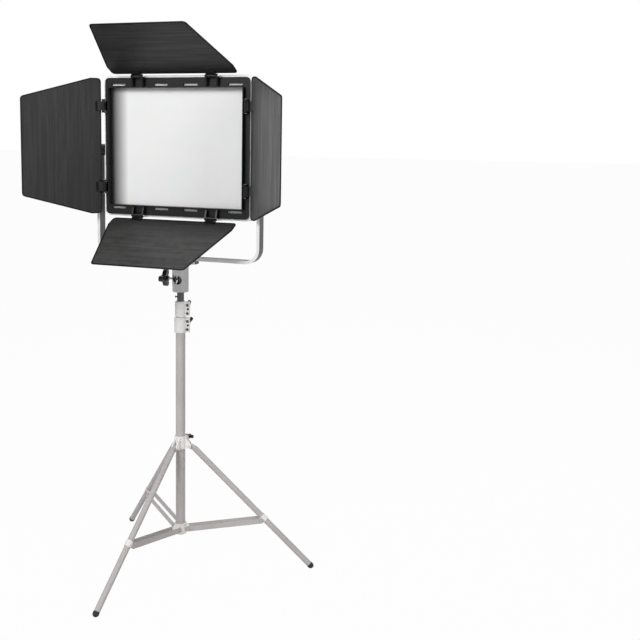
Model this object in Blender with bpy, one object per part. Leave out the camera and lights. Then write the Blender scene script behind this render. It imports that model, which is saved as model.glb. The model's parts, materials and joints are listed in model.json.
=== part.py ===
"""LED panel light with barndoors, on a yoke and a folding stand. Metres, +Z up, the light faces -Y."""
from math import asin, atan2, cos, hypot, pi, radians, sin, sqrt

import bmesh
import bpy
from mathutils import Matrix, Vector

# Fits
CLEAR = 0.0003            # gap between pieces that touch
RUN = 0.0003              # radial gap of a running fit
SLIVER = 0.000002         # edges shorter than this are merged
ROUND = 24                # facets of a large round piece
SMALL = 12                # facets of a small round piece
PIN = 8                   # facets of a pin, a bolt or its hole
LEG_FACETS = 18           # facets of a leg and of what is as thick

# Legs and struts, in the upright plane through the column axis
LEG_ANGLES = (20.5, 140.5, 260.5)
FOOT_SPREAD = 0.306       # column axis to the middle of a foot
COLLAR_HEIGHT = 0.293     # leg pivots above the floor, stand open
LEG_PIVOT_OUT = 0.0075    # leg pivot outside the base tube
LEG_OFFSET = 0.0051       # leg's centre line outside its pivot
LEG_R = 0.00675
LEG_WALL = 0.0012
TONGUE_R = 0.0047
TONGUE_W = 0.008
LEG_PIN_R = 0.0022
STRUT_GRIP = 0.2460       # leg pivot to strut pivot, along the leg
STRUT_DROP = 0.0068       # strut pivot inside the leg's centre line
STRUT_PIVOT_OUT = 0.007   # strut pivot outside the base tube
STRUT_PIVOT_Z = 0.093
STRUT_BAR_W = 0.012
STRUT_BAR_T = 0.002
STRUT_PIN_R = 0.002
BOLT_HEAD_R = 0.0035
BOLT_HEAD_H = 0.0025
SLEEVE_WALL = 0.00115
SLEEVE_LENGTH = 0.014
SLEEVE_LUG_R = 0.0045
FOOT_R = 0.0072
FOOT_PAD_DEPTH = 0.0015   # cut off the round end, to stand flat
FOOT_SKIRT = 0.0045
FOOT_PLUG = 0.015

# Column
BASE_TUBE_R = 0.011
TUBE_RUN = 0.0005         # radial gap between sliding tubes
TUBE_WALL = 0.001
BASE_TUBE_BOTTOM = 0.079
MID_TUBE_BOTTOM = 0.140
TOP_TUBE_BOTTOM = 0.180
SPIDER_WALL = 0.0028
SPIDER_HEIGHT = 0.025
SPIDER_LUG_R = 0.005
COLLAR_WALL = 0.0022
COLLAR_BELOW = 0.007
COLLAR_ABOVE = 0.023
COLLAR_EAR_R = 0.0068
COLLAR_EAR_T = 0.0036
LOWER_CLAMP_BOTTOM = 0.558
CLAMP_HEIGHT = 0.036
CLAMP_GAP = 0.001
CLAMP_LIP = 0.006         # top of a clamp, round the thinner tube
CLAMP_WALL = 0.0030
CLAMP_FACING = radians(26)
LUG_LENGTH = 0.0105       # clamp lugs outside the base tube
LUG_INSET = 0.003          # lugs' outer faces inside the base tube's side
LUG_HEIGHT = 0.032
LUG_SPLIT = 0.0012
CLAMP_BOLT_GAP = 0.0055   # bolt's middle outside the base tube
SCREW_GAP = 0.0043
SCREW_RISE = 0.0094
SCREW_R = 0.0018
SCREW_HEAD_R = 0.0032
SCREW_HEAD_H = 0.0022
KNOB_BOLT_R = 0.0025
KNOB_HUB_R = 0.0055
KNOB_BAR_R = 0.0042
KNOB_BAR_HALF = 0.017
KNOB_STANDOFF = 0.0115
LOWER_KNOB_TURN = radians(-52)
UPPER_KNOB_TURN = radians(-75)
CLAMP_EDGE = 0.002
COLLAR_KNOB_ANGLE = radians(80.5)
COLLAR_KNOB_RISE = 0.012
COLLAR_BOSS_R = 0.0060
COLLAR_BOSS_LENGTH = 0.013
COLLAR_KNOB_BAR_HALF = 0.011

# Spigot and receiver
SPIGOT_R = 0.008
SPIGOT_PLUG = 0.030
SPIGOT_ENGAGED = 0.0446
SPIGOT_WAIST_R = 0.0068
SPIGOT_PIN_R = 0.0016
SPIGOT_PIN_OUT = 0.0045
RECEIVER_STANDOFF = 0.0218
RECEIVER_R = 0.0187
RECEIVER_HEIGHT = 0.0658
CROSS_BORE_R = 0.0105
CROSS_BORE_RISE = 0.0282
RECEIVER_BOLT_R = 0.003
RECEIVER_KNOB_OUT = 0.035
RECEIVER_KNOB_T = 0.012
RECEIVER_KNOB_LOBE = 0.0065
RECEIVER_KNOB_REACH = 0.0210
KING_BOLT_R = 0.005
KING_BOLT_DEPTH = 0.014
KING_HEAD_R = 0.009
KING_HEAD_H = 0.006

# Yoke
YOKE_FORWARD = 0.012      # yoke ahead of the column axis
YOKE_T = 0.007
YOKE_DEPTH = 0.024
YOKE_DROP = 0.2377        # tilt axis to the middle of the yoke bar
YOKE_GAP = 0.0133         # yoke arm to the side of the housing
YOKE_CORNER_R = 0.033
BLOCK_LENGTH = 0.088
BLOCK_HEIGHT = 0.009
TILT_BOLT_R = 0.003
TILT_BOLT_GRIP = 0.009
TILT_SPACER_R = 0.013
TILT_KNOB_R = 0.019
TILT_KNOB_T = 0.014

# Head, measured from the tilt axis; the front is at -Y
HEAD_RISE = 0.008         # middle of the head above the tilt axis
FRAME_W = 0.3507
FRAME_H = 0.3042
FRAME_T = 0.005
FRAME_FRONT = 0.0135      # barndoor frame's face ahead of the tilt axis
FRAME_CORNER = 0.009
FRAME_SIDE = 0.0130       # width of the barndoor frame's side bars
FRAME_END = 0.0222        # width of its top and bottom bars
LIP_T = 0.002             # raised lip round the frame's opening
LIP_HEIGHT = 0.0095
SLOT_W = 0.035
SLOT_H = 0.0045
SLOT_RISE = 0.0070        # slot above the frame's opening
SLOT_PLACES = (0.142, 0.036)
RIM = 0.0048              # housing outside the barndoor frame
HOUSING_CORNER = 0.012
HOUSING_DEPTH = 0.050
HOUSING_WALL = 0.002
HOUSING_BEVEL = 0.004
BEZEL_T = 0.003
BEZEL_LIP = 0.0030        # bezel's opening outside the frame's opening
DIFFUSER_T = 0.003
DIFFUSER_LAP = 0.0045
LED_COLUMNS = 12
LED_ROWS = 9
LED_PITCH = 0.0270
LED_SIZE = 0.0070
LED_HEIGHT = 0.0012
BOARD_T = 0.0016
BOARD_BACK = 0.0112       # back of the LED board behind the tilt axis
SINK_PLATE_T = 0.003
FIN_TIP_GAP = 0.0106      # fin tips to the inside of the housing's back
FIN_T = 0.0015
FIN_COUNT = 17
FIN_SPAN = 0.240
FIN_LENGTH = 0.150
FIN_RISE = 0.050
DRIVER_SIZE = (0.130, 0.056)
DRIVER_GAP = 0.0033       # driver to the inside of the housing's back
DRIVER_PLACE = (-0.085, -0.092)
VENT_COUNT = 11
VENT_PITCH = 0.0095
VENT_W = 0.105
VENT_H = 0.0035
VENT_OUT = 0.075
VENT_RISE = 0.065
PANEL_RISE = -0.045
DISPLAY_W = 0.064
DISPLAY_H = 0.034
DISPLAY_T = 0.006
FLANGE_LAP = 0.0018
FLANGE_T = 0.0012
DIAL_OUT = 0.062
DIAL_R = 0.0115
DIAL_LENGTH = 0.015
DIAL_SHAFT_R = 0.003
DIAL_SHAFT_IN = 0.008
SWITCH_PLACE = (0.062, -0.110)
SWITCH_W = 0.013
SWITCH_H = 0.019
SWITCH_DEPTH = 0.013
SWITCH_WALL = 0.0012
ROCKER_T = 0.007
ROCKER_THROW = radians(7)
INLET_PLACE = (0.105, -0.110)
INLET_W = 0.027
INLET_H = 0.020
INLET_DEPTH = 0.016
INLET_POCKET = 0.012

# Barndoors: one entry for each door, in the order in which they close
DOOR_T = 0.0015
DOOR_START = 0.003        # sheet's edge from the hinge axis
HINGE_OUT = 0.090         # hinges each side of the middle
HINGE_BARREL_R = 0.004
HINGE_BARREL_HALF = 0.0105
HINGE_EAR_R = 0.0046
HINGE_EAR_T = 0.004
HINGE_EAR_RISE = 0.005    # height of the ears' inner end on the frame
HINGE_PIN_R = 0.0018
HINGE_BLOCK_LENGTH = 0.014
END_DOOR = {"half": 0.1512, "straight": 0.033, "length": 0.1974, "tip": 0.1087, "edge": (0.0064, 0.005),
            "bar": FRAME_END}
SIDE_DOOR = {"half": 0.1514, "straight": 0.0275, "length": 0.1859, "tip": 0.1082, "edge": (0.005, 0.005),
             "bar": FRAME_SIDE}
DOOR_CORNER = 0.008
TOP_OPEN = radians(118)
BOTTOM_OPEN = radians(115)
SIDE_OPEN = radians(131)
TOP_LAYER = 0.005         # sheet ahead of its hinge axis, so that the closed doors lie in layers
BOTTOM_LAYER = 0.007
LEFT_LAYER = 0.0085
RIGHT_LAYER = 0.011

# Places that follow from the sizes above
MID_TUBE_R = BASE_TUBE_R - TUBE_WALL - TUBE_RUN
TOP_TUBE_R = MID_TUBE_R - TUBE_WALL - TUBE_RUN
LEG_PIVOT_R = BASE_TUBE_R + LEG_PIVOT_OUT
STRUT_PIVOT_R = BASE_TUBE_R + STRUT_PIVOT_OUT
LUG_REACH = BASE_TUBE_R + LUG_LENGTH
LUG_HALF_T = BASE_TUBE_R - LUG_INSET
CLAMP_BOLT_OUT = BASE_TUBE_R + CLAMP_BOLT_GAP
SCREW_OUT = BASE_TUBE_R + SCREW_GAP
COLLAR_BOSS_OUT = BASE_TUBE_R + COLLAR_BOSS_LENGTH
COLUMN_Y = -FOOT_SPREAD * (sin(radians(LEG_ANGLES[1])) + sin(radians(LEG_ANGLES[2]))) / 2
FOOT_HEIGHT = FOOT_R - FOOT_PAD_DEPTH
LEG_REACH = hypot(FOOT_SPREAD - LEG_PIVOT_R, COLLAR_HEIGHT - FOOT_HEIGHT)
LEG_LENGTH = sqrt(LEG_REACH ** 2 - LEG_OFFSET ** 2)
LEG_LEAN = atan2(FOOT_SPREAD - LEG_PIVOT_R, COLLAR_HEIGHT - FOOT_HEIGHT) - asin(LEG_OFFSET / LEG_REACH)
LINK_OFFSET = LEG_OFFSET - STRUT_DROP


def link_point(lean):
    """Radius and height of the strut's outer pivot from the leg's pivot, for a leg at this lean."""
    return (STRUT_GRIP * sin(lean) + LINK_OFFSET * cos(lean), LINK_OFFSET * sin(lean) - STRUT_GRIP * cos(lean))


OPEN_LINK = (LEG_PIVOT_R + link_point(LEG_LEAN)[0], COLLAR_HEIGHT + link_point(LEG_LEAN)[1])
STRUT_LENGTH = hypot(OPEN_LINK[0] - STRUT_PIVOT_R, OPEN_LINK[1] - STRUT_PIVOT_Z)
STRUT_RISE = atan2(OPEN_LINK[1] - STRUT_PIVOT_Z, OPEN_LINK[0] - STRUT_PIVOT_R)
BAR_INNER = LEG_R + RUN + SLEEVE_WALL + RUN      # inner face of a strut bar from the leg's plane
SLEEVE_R = LEG_R + RUN + SLEEVE_WALL
LOWER_CLAMP_TOP = LOWER_CLAMP_BOTTOM + CLAMP_HEIGHT
UPPER_CLAMP_BOTTOM = LOWER_CLAMP_TOP + CLAMP_GAP
UPPER_CLAMP_TOP = UPPER_CLAMP_BOTTOM + CLAMP_HEIGHT
BASE_TUBE_TOP = LOWER_CLAMP_TOP - CLAMP_LIP
MID_TUBE_TOP = UPPER_CLAMP_TOP - CLAMP_LIP
TOP_TUBE_TOP = UPPER_CLAMP_TOP - CLEAR
RECEIVER_BOTTOM = UPPER_CLAMP_TOP + RECEIVER_STANDOFF
RECEIVER_TOP = RECEIVER_BOTTOM + RECEIVER_HEIGHT
BLOCK_BOTTOM = RECEIVER_TOP + CLEAR
BAR_BOTTOM = BLOCK_BOTTOM + BLOCK_HEIGHT + CLEAR
BAR_TOP = BAR_BOTTOM + YOKE_T
TILT_HEIGHT = BAR_BOTTOM + YOKE_T / 2 + YOKE_DROP
HOUSING_W = FRAME_W + 2 * RIM
HOUSING_H = FRAME_H + 2 * RIM
YOKE_INSIDE = HOUSING_W / 2 + YOKE_GAP
FRAME_BACK = FRAME_FRONT - FRAME_T
BEZEL_FRONT = FRAME_BACK - CLEAR
HOUSING_FRONT = BEZEL_FRONT - BEZEL_T - CLEAR
HOUSING_BACK = HOUSING_DEPTH - HOUSING_FRONT
REAR_INSIDE = HOUSING_BACK - HOUSING_WALL
OPENING_W = FRAME_W - 2 * FRAME_SIDE
OPENING_H = FRAME_H - 2 * FRAME_END
SINK_FRONT = BOARD_BACK + CLEAR
SINK_BACK = SINK_FRONT + SINK_PLATE_T
FIN_TIP = REAR_INSIDE - FIN_TIP_GAP
DRIVER_BACK = REAR_INSIDE - DRIVER_GAP

FINISHES = {
    "stand_paint": ((0.62, 0.60, 0.60, 1), 0.45, 0.3),
    "white_cast": ((0.78, 0.77, 0.75, 1), 0.5, 0.1),
    "satin_steel": ((0.55, 0.55, 0.55, 1), 0.35, 0.9),
    "dark_steel": ((0.10, 0.09, 0.09, 1), 0.4, 0.7),
    "black_plastic": ((0.02, 0.02, 0.02, 1), 0.55, 0.0),
    "black_rubber": ((0.015, 0.015, 0.015, 1), 0.8, 0.0),
    "silver_shell": ((0.75, 0.75, 0.76, 1), 0.35, 0.5),
    "black_metal": ((0.03, 0.03, 0.03, 1), 0.5, 0.3),
    "door_grey": ((0.06, 0.06, 0.062, 1), 0.45, 0.3),
    "diffuser": ((0.80, 0.80, 0.80, 1), 0.6, 0.0),
    "board": ((0.85, 0.85, 0.83, 1), 0.6, 0.0),
    "aluminium": ((0.65, 0.65, 0.66, 1), 0.4, 0.9),
    "glass_black": ((0.01, 0.012, 0.015, 1), 0.15, 0.0),
}


def clear_scene():
    """Remove every object of the open file."""
    for item in list(bpy.data.objects):
        bpy.data.objects.remove(item)


# Shape helpers: each returns an object in its frame's own axes

def solid(mesh_data):
    """Turn a bmesh into an object with its faces pointing out."""
    bmesh.ops.recalc_face_normals(mesh_data, faces=mesh_data.faces)
    mesh = bpy.data.meshes.new("solid")
    mesh_data.to_mesh(mesh)
    mesh_data.free()
    shape = bpy.data.objects.new("solid", mesh)
    bpy.context.scene.collection.objects.link(shape)
    return shape


def along(start, direction):
    """Matrix that puts the origin at start and turns +Z to the direction."""
    turn = Vector(direction).to_track_quat("Z", "Y").to_matrix().to_4x4()
    return Matrix.Translation(start) @ turn


def turned(profile, facets=ROUND, matrix=None):
    """Solid of a closed (radius, height) outline turned about Z; a radius of 0 is a pole."""
    shape = bmesh.new()
    rings = []
    for radius, height in profile:
        count = facets if radius > 0 else 1
        turns = [2 * pi * k / facets for k in range(count)]
        rings.append([shape.verts.new((radius * cos(t), radius * sin(t), height)) for t in turns])
    for ring, after in zip(rings, rings[1:] + rings[:1]):
        if len(ring) == 1 and len(after) == 1:
            continue
        for k in range(facets):
            m = (k + 1) % facets
            corners = (ring[k % len(ring)], ring[m % len(ring)], after[m % len(after)], after[k % len(after)])
            shape.faces.new(list(dict.fromkeys(corners)))
    bmesh.ops.transform(shape, matrix=matrix or Matrix(), verts=shape.verts)
    return solid(shape)


def tube(outer, inner, low, high, facets=ROUND, matrix=None):
    """Bored cylinder along Z."""
    return turned([(outer, low), (outer, high), (inner, high), (inner, low)], facets, matrix)


def rod(radius, start, end, facets=SMALL, edge=0.0):
    """Cylinder from start to end, with an optional chamfer on both edges."""
    span = Vector(end) - Vector(start)
    length = span.length
    profile = [(0, 0), (radius, 0), (radius, length), (0, length)]
    if edge:
        profile = [(0, 0), (radius - edge, 0), (radius, edge), (radius, length - edge), (radius - edge, length),
                   (0, length)]
    return turned(profile, facets, along(start, span))


def extruded(outline, low, high, matrix=None):
    """Prism of a flat (x, y) outline between two heights."""
    shape = bmesh.new()
    floor = [shape.verts.new((x, y, low)) for x, y in outline]
    roof = [shape.verts.new((x, y, high)) for x, y in outline]
    shape.faces.new(list(reversed(floor)))
    shape.faces.new(roof)
    for k in range(len(outline)):
        m = (k + 1) % len(outline)
        shape.faces.new((floor[k], floor[m], roof[m], roof[k]))
    bmesh.ops.transform(shape, matrix=matrix or Matrix(), verts=shape.verts)
    return solid(shape)


def box(low, high):
    """Block between two corners."""
    outline = [(low[0], low[1]), (high[0], low[1]), (high[0], high[1]), (low[0], high[1])]
    return extruded(outline, low[2], high[2])


def rounded(corners, radius, steps=3):
    """Outline with each corner of a convex polygon rounded to the radius."""
    points = []
    count = len(corners)
    for k in range(count):
        here = Vector(corners[k])
        before = (Vector(corners[k - 1]) - here).normalized()
        after = (Vector(corners[(k + 1) % count]) - here).normalized()
        half = before.angle(after) / 2
        middle = here + (before + after).normalized() * radius / sin(half)
        start = here + before * radius / (sin(half) / cos(half)) - middle
        sweep = (pi - 2 * half) * (1 if before.x * after.y - before.y * after.x < 0 else -1)
        for step in range(steps + 1):
            points.append(middle + Matrix.Rotation(sweep * step / steps, 2) @ start)
    return [(point.x, point.y) for point in points]


def rectangle(width, height, radius, steps=3):
    """Rounded rectangle about the origin."""
    corners = [(-width / 2, -height / 2), (width / 2, -height / 2), (width / 2, height / 2), (-width / 2, height / 2)]
    return rounded(corners, radius, steps)


def circle(middle, radius, facets=SMALL):
    """Points on a circle."""
    turns = [2 * pi * k / facets for k in range(facets)]
    return [(middle[0] + radius * cos(t), middle[1] + radius * sin(t)) for t in turns]


def hull(points):
    """Convex outline round flat points."""
    ordered = sorted(set(points))
    sides = []
    for run in (ordered, list(reversed(ordered))):
        side = []
        for point in run:
            while len(side) > 1 and turn(side[-2], side[-1], point) <= 0:
                side.pop()
            side.append(point)
        sides.extend(side[:-1])
    return sides


def turn(a, b, c):
    """Twice the signed area of the triangle a, b, c."""
    return (b[0] - a[0]) * (c[1] - a[1]) - (b[1] - a[1]) * (c[0] - a[0])


def upright(outline, near, far):
    """Prism of an (x, z) outline, between two distances along Y."""
    flip = Matrix(((1, 0, 0, 0), (0, 0, 1, 0), (0, 1, 0, 0), (0, 0, 0, 1)))
    return extruded(outline, near, far, flip)


def combine(base, operation, tools):
    """Boolean the tools into the base one by one, and remove them."""
    for tool in tools:
        modifier = base.modifiers.new(operation.lower(), "BOOLEAN")
        modifier.operation = operation
        modifier.object = tool
        bpy.context.view_layer.update()
        mesh = bpy.data.meshes.new_from_object(base.evaluated_get(bpy.context.evaluated_depsgraph_get()))
        base.modifiers.clear()
        base.data = mesh
        tidy(mesh)
        bpy.data.objects.remove(tool)
    return base


def tidy(mesh):
    """Merge the slivers that a Boolean leaves along nearly equal edges."""
    shape = bmesh.new()
    shape.from_mesh(mesh)
    bmesh.ops.remove_doubles(shape, verts=shape.verts, dist=SLIVER)
    bmesh.ops.dissolve_degenerate(shape, dist=SLIVER, edges=shape.edges)
    shape.to_mesh(mesh)
    shape.free()


def fuse(base, *tools):
    """Join solids into one body."""
    return combine(base, "UNION", tools)


def cut(base, *tools):
    """Take solids away from the base."""
    return combine(base, "DIFFERENCE", tools)


def frame(name, parent=None, place=(0, 0, 0), turn_matrix=None):
    """Empty that carries a group of pieces; a moving group has it on its joint's axis."""
    empty = bpy.data.objects.new(name, None)
    bpy.context.scene.collection.objects.link(empty)
    empty.parent = parent
    empty.matrix_local = Matrix.Translation(place) @ (turn_matrix or Matrix())
    return empty


def piece(name, shape, carrier, finish):
    """Name a solid, give it its own material and hang it on its frame."""
    colour, roughness, metallic = FINISHES[finish]
    shape.name = name
    shape.data.name = name
    material = bpy.data.materials.new(name)
    material.use_nodes = True
    surface = material.node_tree.nodes["Principled BSDF"]
    surface.inputs["Base Color"].default_value = colour
    surface.inputs["Roughness"].default_value = roughness
    surface.inputs["Metallic"].default_value = metallic
    shape.data.materials.clear()
    shape.data.materials.append(material)
    shape.data.shade_smooth()
    shape.data.set_sharp_from_angle(angle=radians(30))
    shape.parent = carrier
    return shape


# Stand

def tube_with_mouth(radius, bottom, top):
    """Telescoping tube, open at both ends."""
    return tube(radius, radius - TUBE_WALL, bottom, top)


def knob_bar(half, standoff, grip):
    """T knob about +Z: its bolt starts at the grip below zero, its bar lies beyond the standoff."""
    hub = rod(KNOB_HUB_R, (0, 0, CLEAR), (0, 0, standoff + 0.7 * KNOB_BAR_R), edge=0.0008)
    bolt = rod(KNOB_BOLT_R, (0, 0, -grip), (0, 0, standoff))
    bar = rod(KNOB_BAR_R, (-half, 0, standoff), (half, 0, standoff), edge=0.0018)
    return fuse(hub, bolt, bar)


def spider_lug(angle):
    """Solid lug that a strut's pin passes through, at one leg's angle."""
    outline = hull(circle((STRUT_PIVOT_R, 0), SPIDER_LUG_R) + [(BASE_TUBE_R + 0.0015, -0.009),
                                                               (BASE_TUBE_R + 0.0015, 0.009)])
    half = BAR_INNER - CLEAR
    lug = upright(outline, -half, half)
    lug.data.transform(Matrix.Rotation(angle, 4, "Z"))
    return lug


def pin_hole(radius, reach, place, angle):
    """Cutter for a tangential pin at a leg's angle."""
    hole = rod(radius, (place[0], -reach, place[1]), (place[0], reach, place[1]), PIN)
    hole.data.transform(Matrix.Rotation(angle, 4, "Z"))
    return hole


def make_base(stand):
    """Base tube and the lower spider that the struts pivot on."""
    tube_shape = tube_with_mouth(BASE_TUBE_R, BASE_TUBE_BOTTOM, BASE_TUBE_TOP)
    piece("base_tube", tube_shape, stand, "stand_paint")
    hub = frame("spider_frame", stand, (0, 0, STRUT_PIVOT_Z))
    inner = BASE_TUBE_R + CLEAR
    ring = tube(inner + SPIDER_WALL, inner, -SPIDER_HEIGHT / 2, SPIDER_HEIGHT / 2)
    angles = [radians(a) for a in LEG_ANGLES]
    fuse(ring, *[spider_lug(a) for a in angles])
    bore = rod(inner, (0, 0, -SPIDER_HEIGHT), (0, 0, SPIDER_HEIGHT), ROUND)
    holes = [pin_hole(STRUT_PIN_R + RUN, 0.02, (STRUT_PIVOT_R, 0), a) for a in angles]
    piece("base_spider", cut(ring, bore, *holes), hub, "white_cast")


def collar_ears(angle):
    """Two ears at one leg's angle, with the pin between them."""
    outline = hull(circle((LEG_PIVOT_R, 0), COLLAR_EAR_R) + [(BASE_TUBE_R + 0.001, -0.006),
                                                             (BASE_TUBE_R + 0.001, COLLAR_ABOVE - 0.002)])
    inner = TONGUE_W / 2 + CLEAR
    outer = inner + COLLAR_EAR_T
    ears = [upright(outline, side * inner, side * outer) for side in (1, -1)]
    pin = rod(LEG_PIN_R, (LEG_PIVOT_R, -inner - 0.001, 0), (LEG_PIVOT_R, inner + 0.001, 0), PIN)
    heads = [rod(BOLT_HEAD_R, (LEG_PIVOT_R, side * (outer - 0.001), 0),
                 (LEG_PIVOT_R, side * (outer + 0.0016), 0), PIN) for side in (1, -1)]
    shapes = ears + [pin] + heads
    for shape in shapes:
        shape.data.transform(Matrix.Rotation(angle, 4, "Z"))
    return shapes


def make_collar(stand):
    """Sliding collar that carries the three legs, and its T knob."""
    collar = frame("collar_frame", stand, (0, 0, COLLAR_HEIGHT))
    inner = BASE_TUBE_R + RUN
    ring = tube(inner + COLLAR_WALL, inner, -COLLAR_BELOW, COLLAR_ABOVE)
    shapes = [shape for angle in LEG_ANGLES for shape in collar_ears(radians(angle))]
    out = Vector((cos(COLLAR_KNOB_ANGLE), sin(COLLAR_KNOB_ANGLE), 0))
    start = Vector((0, 0, COLLAR_KNOB_RISE))
    boss = rod(COLLAR_BOSS_R, start, start + out * COLLAR_BOSS_OUT)
    fuse(ring, boss, *shapes)
    bore = rod(inner, (0, 0, -0.03), (0, 0, 0.05), ROUND)
    hole = rod(KNOB_BOLT_R + RUN, start, start + out * 0.05, PIN)
    piece("leg_collar", cut(ring, bore, hole), collar, "white_cast")
    turn_matrix = along((0, 0, 0), out)
    knob_frame = frame("leg_collar_knob_frame", collar, start + out * COLLAR_BOSS_OUT, turn_matrix)
    grip = COLLAR_BOSS_OUT - BASE_TUBE_R - CLEAR
    piece("leg_collar_knob", knob_bar(COLLAR_KNOB_BAR_HALF, KNOB_STANDOFF, grip), knob_frame, "black_plastic")
    return collar


def leg_tube():
    """Leg along -Z of its frame, hollow at its foot, with the tongue that pivots in the collar."""
    top = -0.013
    shape = rod(LEG_R, (LEG_OFFSET, 0, -LEG_LENGTH + FOOT_SKIRT), (LEG_OFFSET, 0, top), LEG_FACETS, edge=0.001)
    tongue = upright(hull(circle((0, 0), TONGUE_R) + [(LEG_OFFSET - 0.0045, top - 0.008),
                                                      (LEG_OFFSET + 0.0045, top - 0.008),
                                                      (LEG_OFFSET + 0.0035, top + 0.006)]),
                     -TONGUE_W / 2, TONGUE_W / 2)
    fuse(shape, tongue)
    bore = rod(LEG_R - LEG_WALL, (LEG_OFFSET, 0, -LEG_LENGTH), (LEG_OFFSET, 0, top - 0.015), LEG_FACETS)
    hole = rod(LEG_PIN_R + RUN, (0, -0.02, 0), (0, 0.02, 0), PIN)
    return cut(shape, bore, hole)


def leg_sleeve():
    """Clamp round the leg, with the lug that lies between the strut's bars."""
    middle = -STRUT_GRIP
    matrix = Matrix.Translation((LEG_OFFSET, 0, middle))
    ring = tube(SLEEVE_R, LEG_R + RUN, -SLEEVE_LENGTH / 2, SLEEVE_LENGTH / 2, LEG_FACETS, matrix)
    lug = upright(hull(circle((LINK_OFFSET, middle), SLEEVE_LUG_R) + [(LEG_OFFSET - LEG_R, middle - 0.006),
                                                                       (LEG_OFFSET - LEG_R, middle + 0.006)]),
                  -0.005, 0.005)
    half = BAR_INNER - CLEAR
    boss = rod(0.0028, (LINK_OFFSET, -half, middle), (LINK_OFFSET, half, middle), PIN)
    fuse(ring, lug, boss)
    bore = rod(LEG_R + RUN, (LEG_OFFSET, 0, middle - 0.02), (LEG_OFFSET, 0, middle + 0.02), LEG_FACETS)
    return cut(ring, bore)


def foot_cap(leg_turn, leg_height):
    """Rubber cap with a plug in the leg, cut flat where it stands on the floor."""
    skirt = -LEG_LENGTH + FOOT_SKIRT - CLEAR
    arcs = [(FOOT_R * cos(t), -LEG_LENGTH - FOOT_R * sin(t)) for t in (radians(15 * k) for k in range(6))]
    plug = LEG_R - LEG_WALL - CLEAR
    profile = [(0, -LEG_LENGTH - FOOT_R)] + arcs[::-1] + [(FOOT_R, skirt), (plug, skirt),
                                                          (plug, skirt + FOOT_PLUG), (0, skirt + FOOT_PLUG)]
    cap = turned(profile, LEG_FACETS, Matrix.Translation((LEG_OFFSET, 0, 0)))
    floor = box((-0.5, -0.1, -0.5), (0.5, 0.1, -leg_height))
    floor.data.transform(leg_turn.inverted())
    return cut(cap, floor)


def make_leg(number, angle, collar):
    """One leg with its sleeve and foot, on an empty at the leg's pivot."""
    place = (LEG_PIVOT_R * cos(angle), LEG_PIVOT_R * sin(angle), 0)
    lean = Matrix.Rotation(-LEG_LEAN, 4, "Y")
    carrier = frame(f"leg_{number}_frame", collar, place, Matrix.Rotation(angle, 4, "Z") @ lean)
    piece(f"leg_{number}", leg_tube(), carrier, "stand_paint")
    piece(f"leg_clamp_{number}", leg_sleeve(), carrier, "white_cast")
    piece(f"foot_{number}", foot_cap(lean, COLLAR_HEIGHT), carrier, "black_rubber")


def make_strut(number, angle, stand):
    """Two flat bars on one pin, with bolt heads outside them, along +X of the strut's frame."""
    place = (STRUT_PIVOT_R * cos(angle), STRUT_PIVOT_R * sin(angle), STRUT_PIVOT_Z)
    turn_matrix = Matrix.Rotation(angle, 4, "Z") @ Matrix.Rotation(-STRUT_RISE, 4, "Y")
    carrier = frame(f"strut_{number}_frame", stand, place, turn_matrix)
    outline = hull(circle((0, 0), STRUT_BAR_W / 2) + circle((STRUT_LENGTH, 0), STRUT_BAR_W / 2))
    outer = BAR_INNER + STRUT_BAR_T
    bars = [upright(outline, side * BAR_INNER, side * outer) for side in (1, -1)]
    pin = rod(STRUT_PIN_R, (0, -BAR_INNER - 0.001, 0), (0, BAR_INNER + 0.001, 0), PIN)
    heads = [rod(BOLT_HEAD_R, (x, side * (outer - 0.001), 0), (x, side * (outer + BOLT_HEAD_H), 0), PIN)
             for x in (0, STRUT_LENGTH) for side in (1, -1)]
    piece(f"strut_{number}", fuse(bars[0], bars[1], pin, *heads), carrier, "stand_paint")


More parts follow.
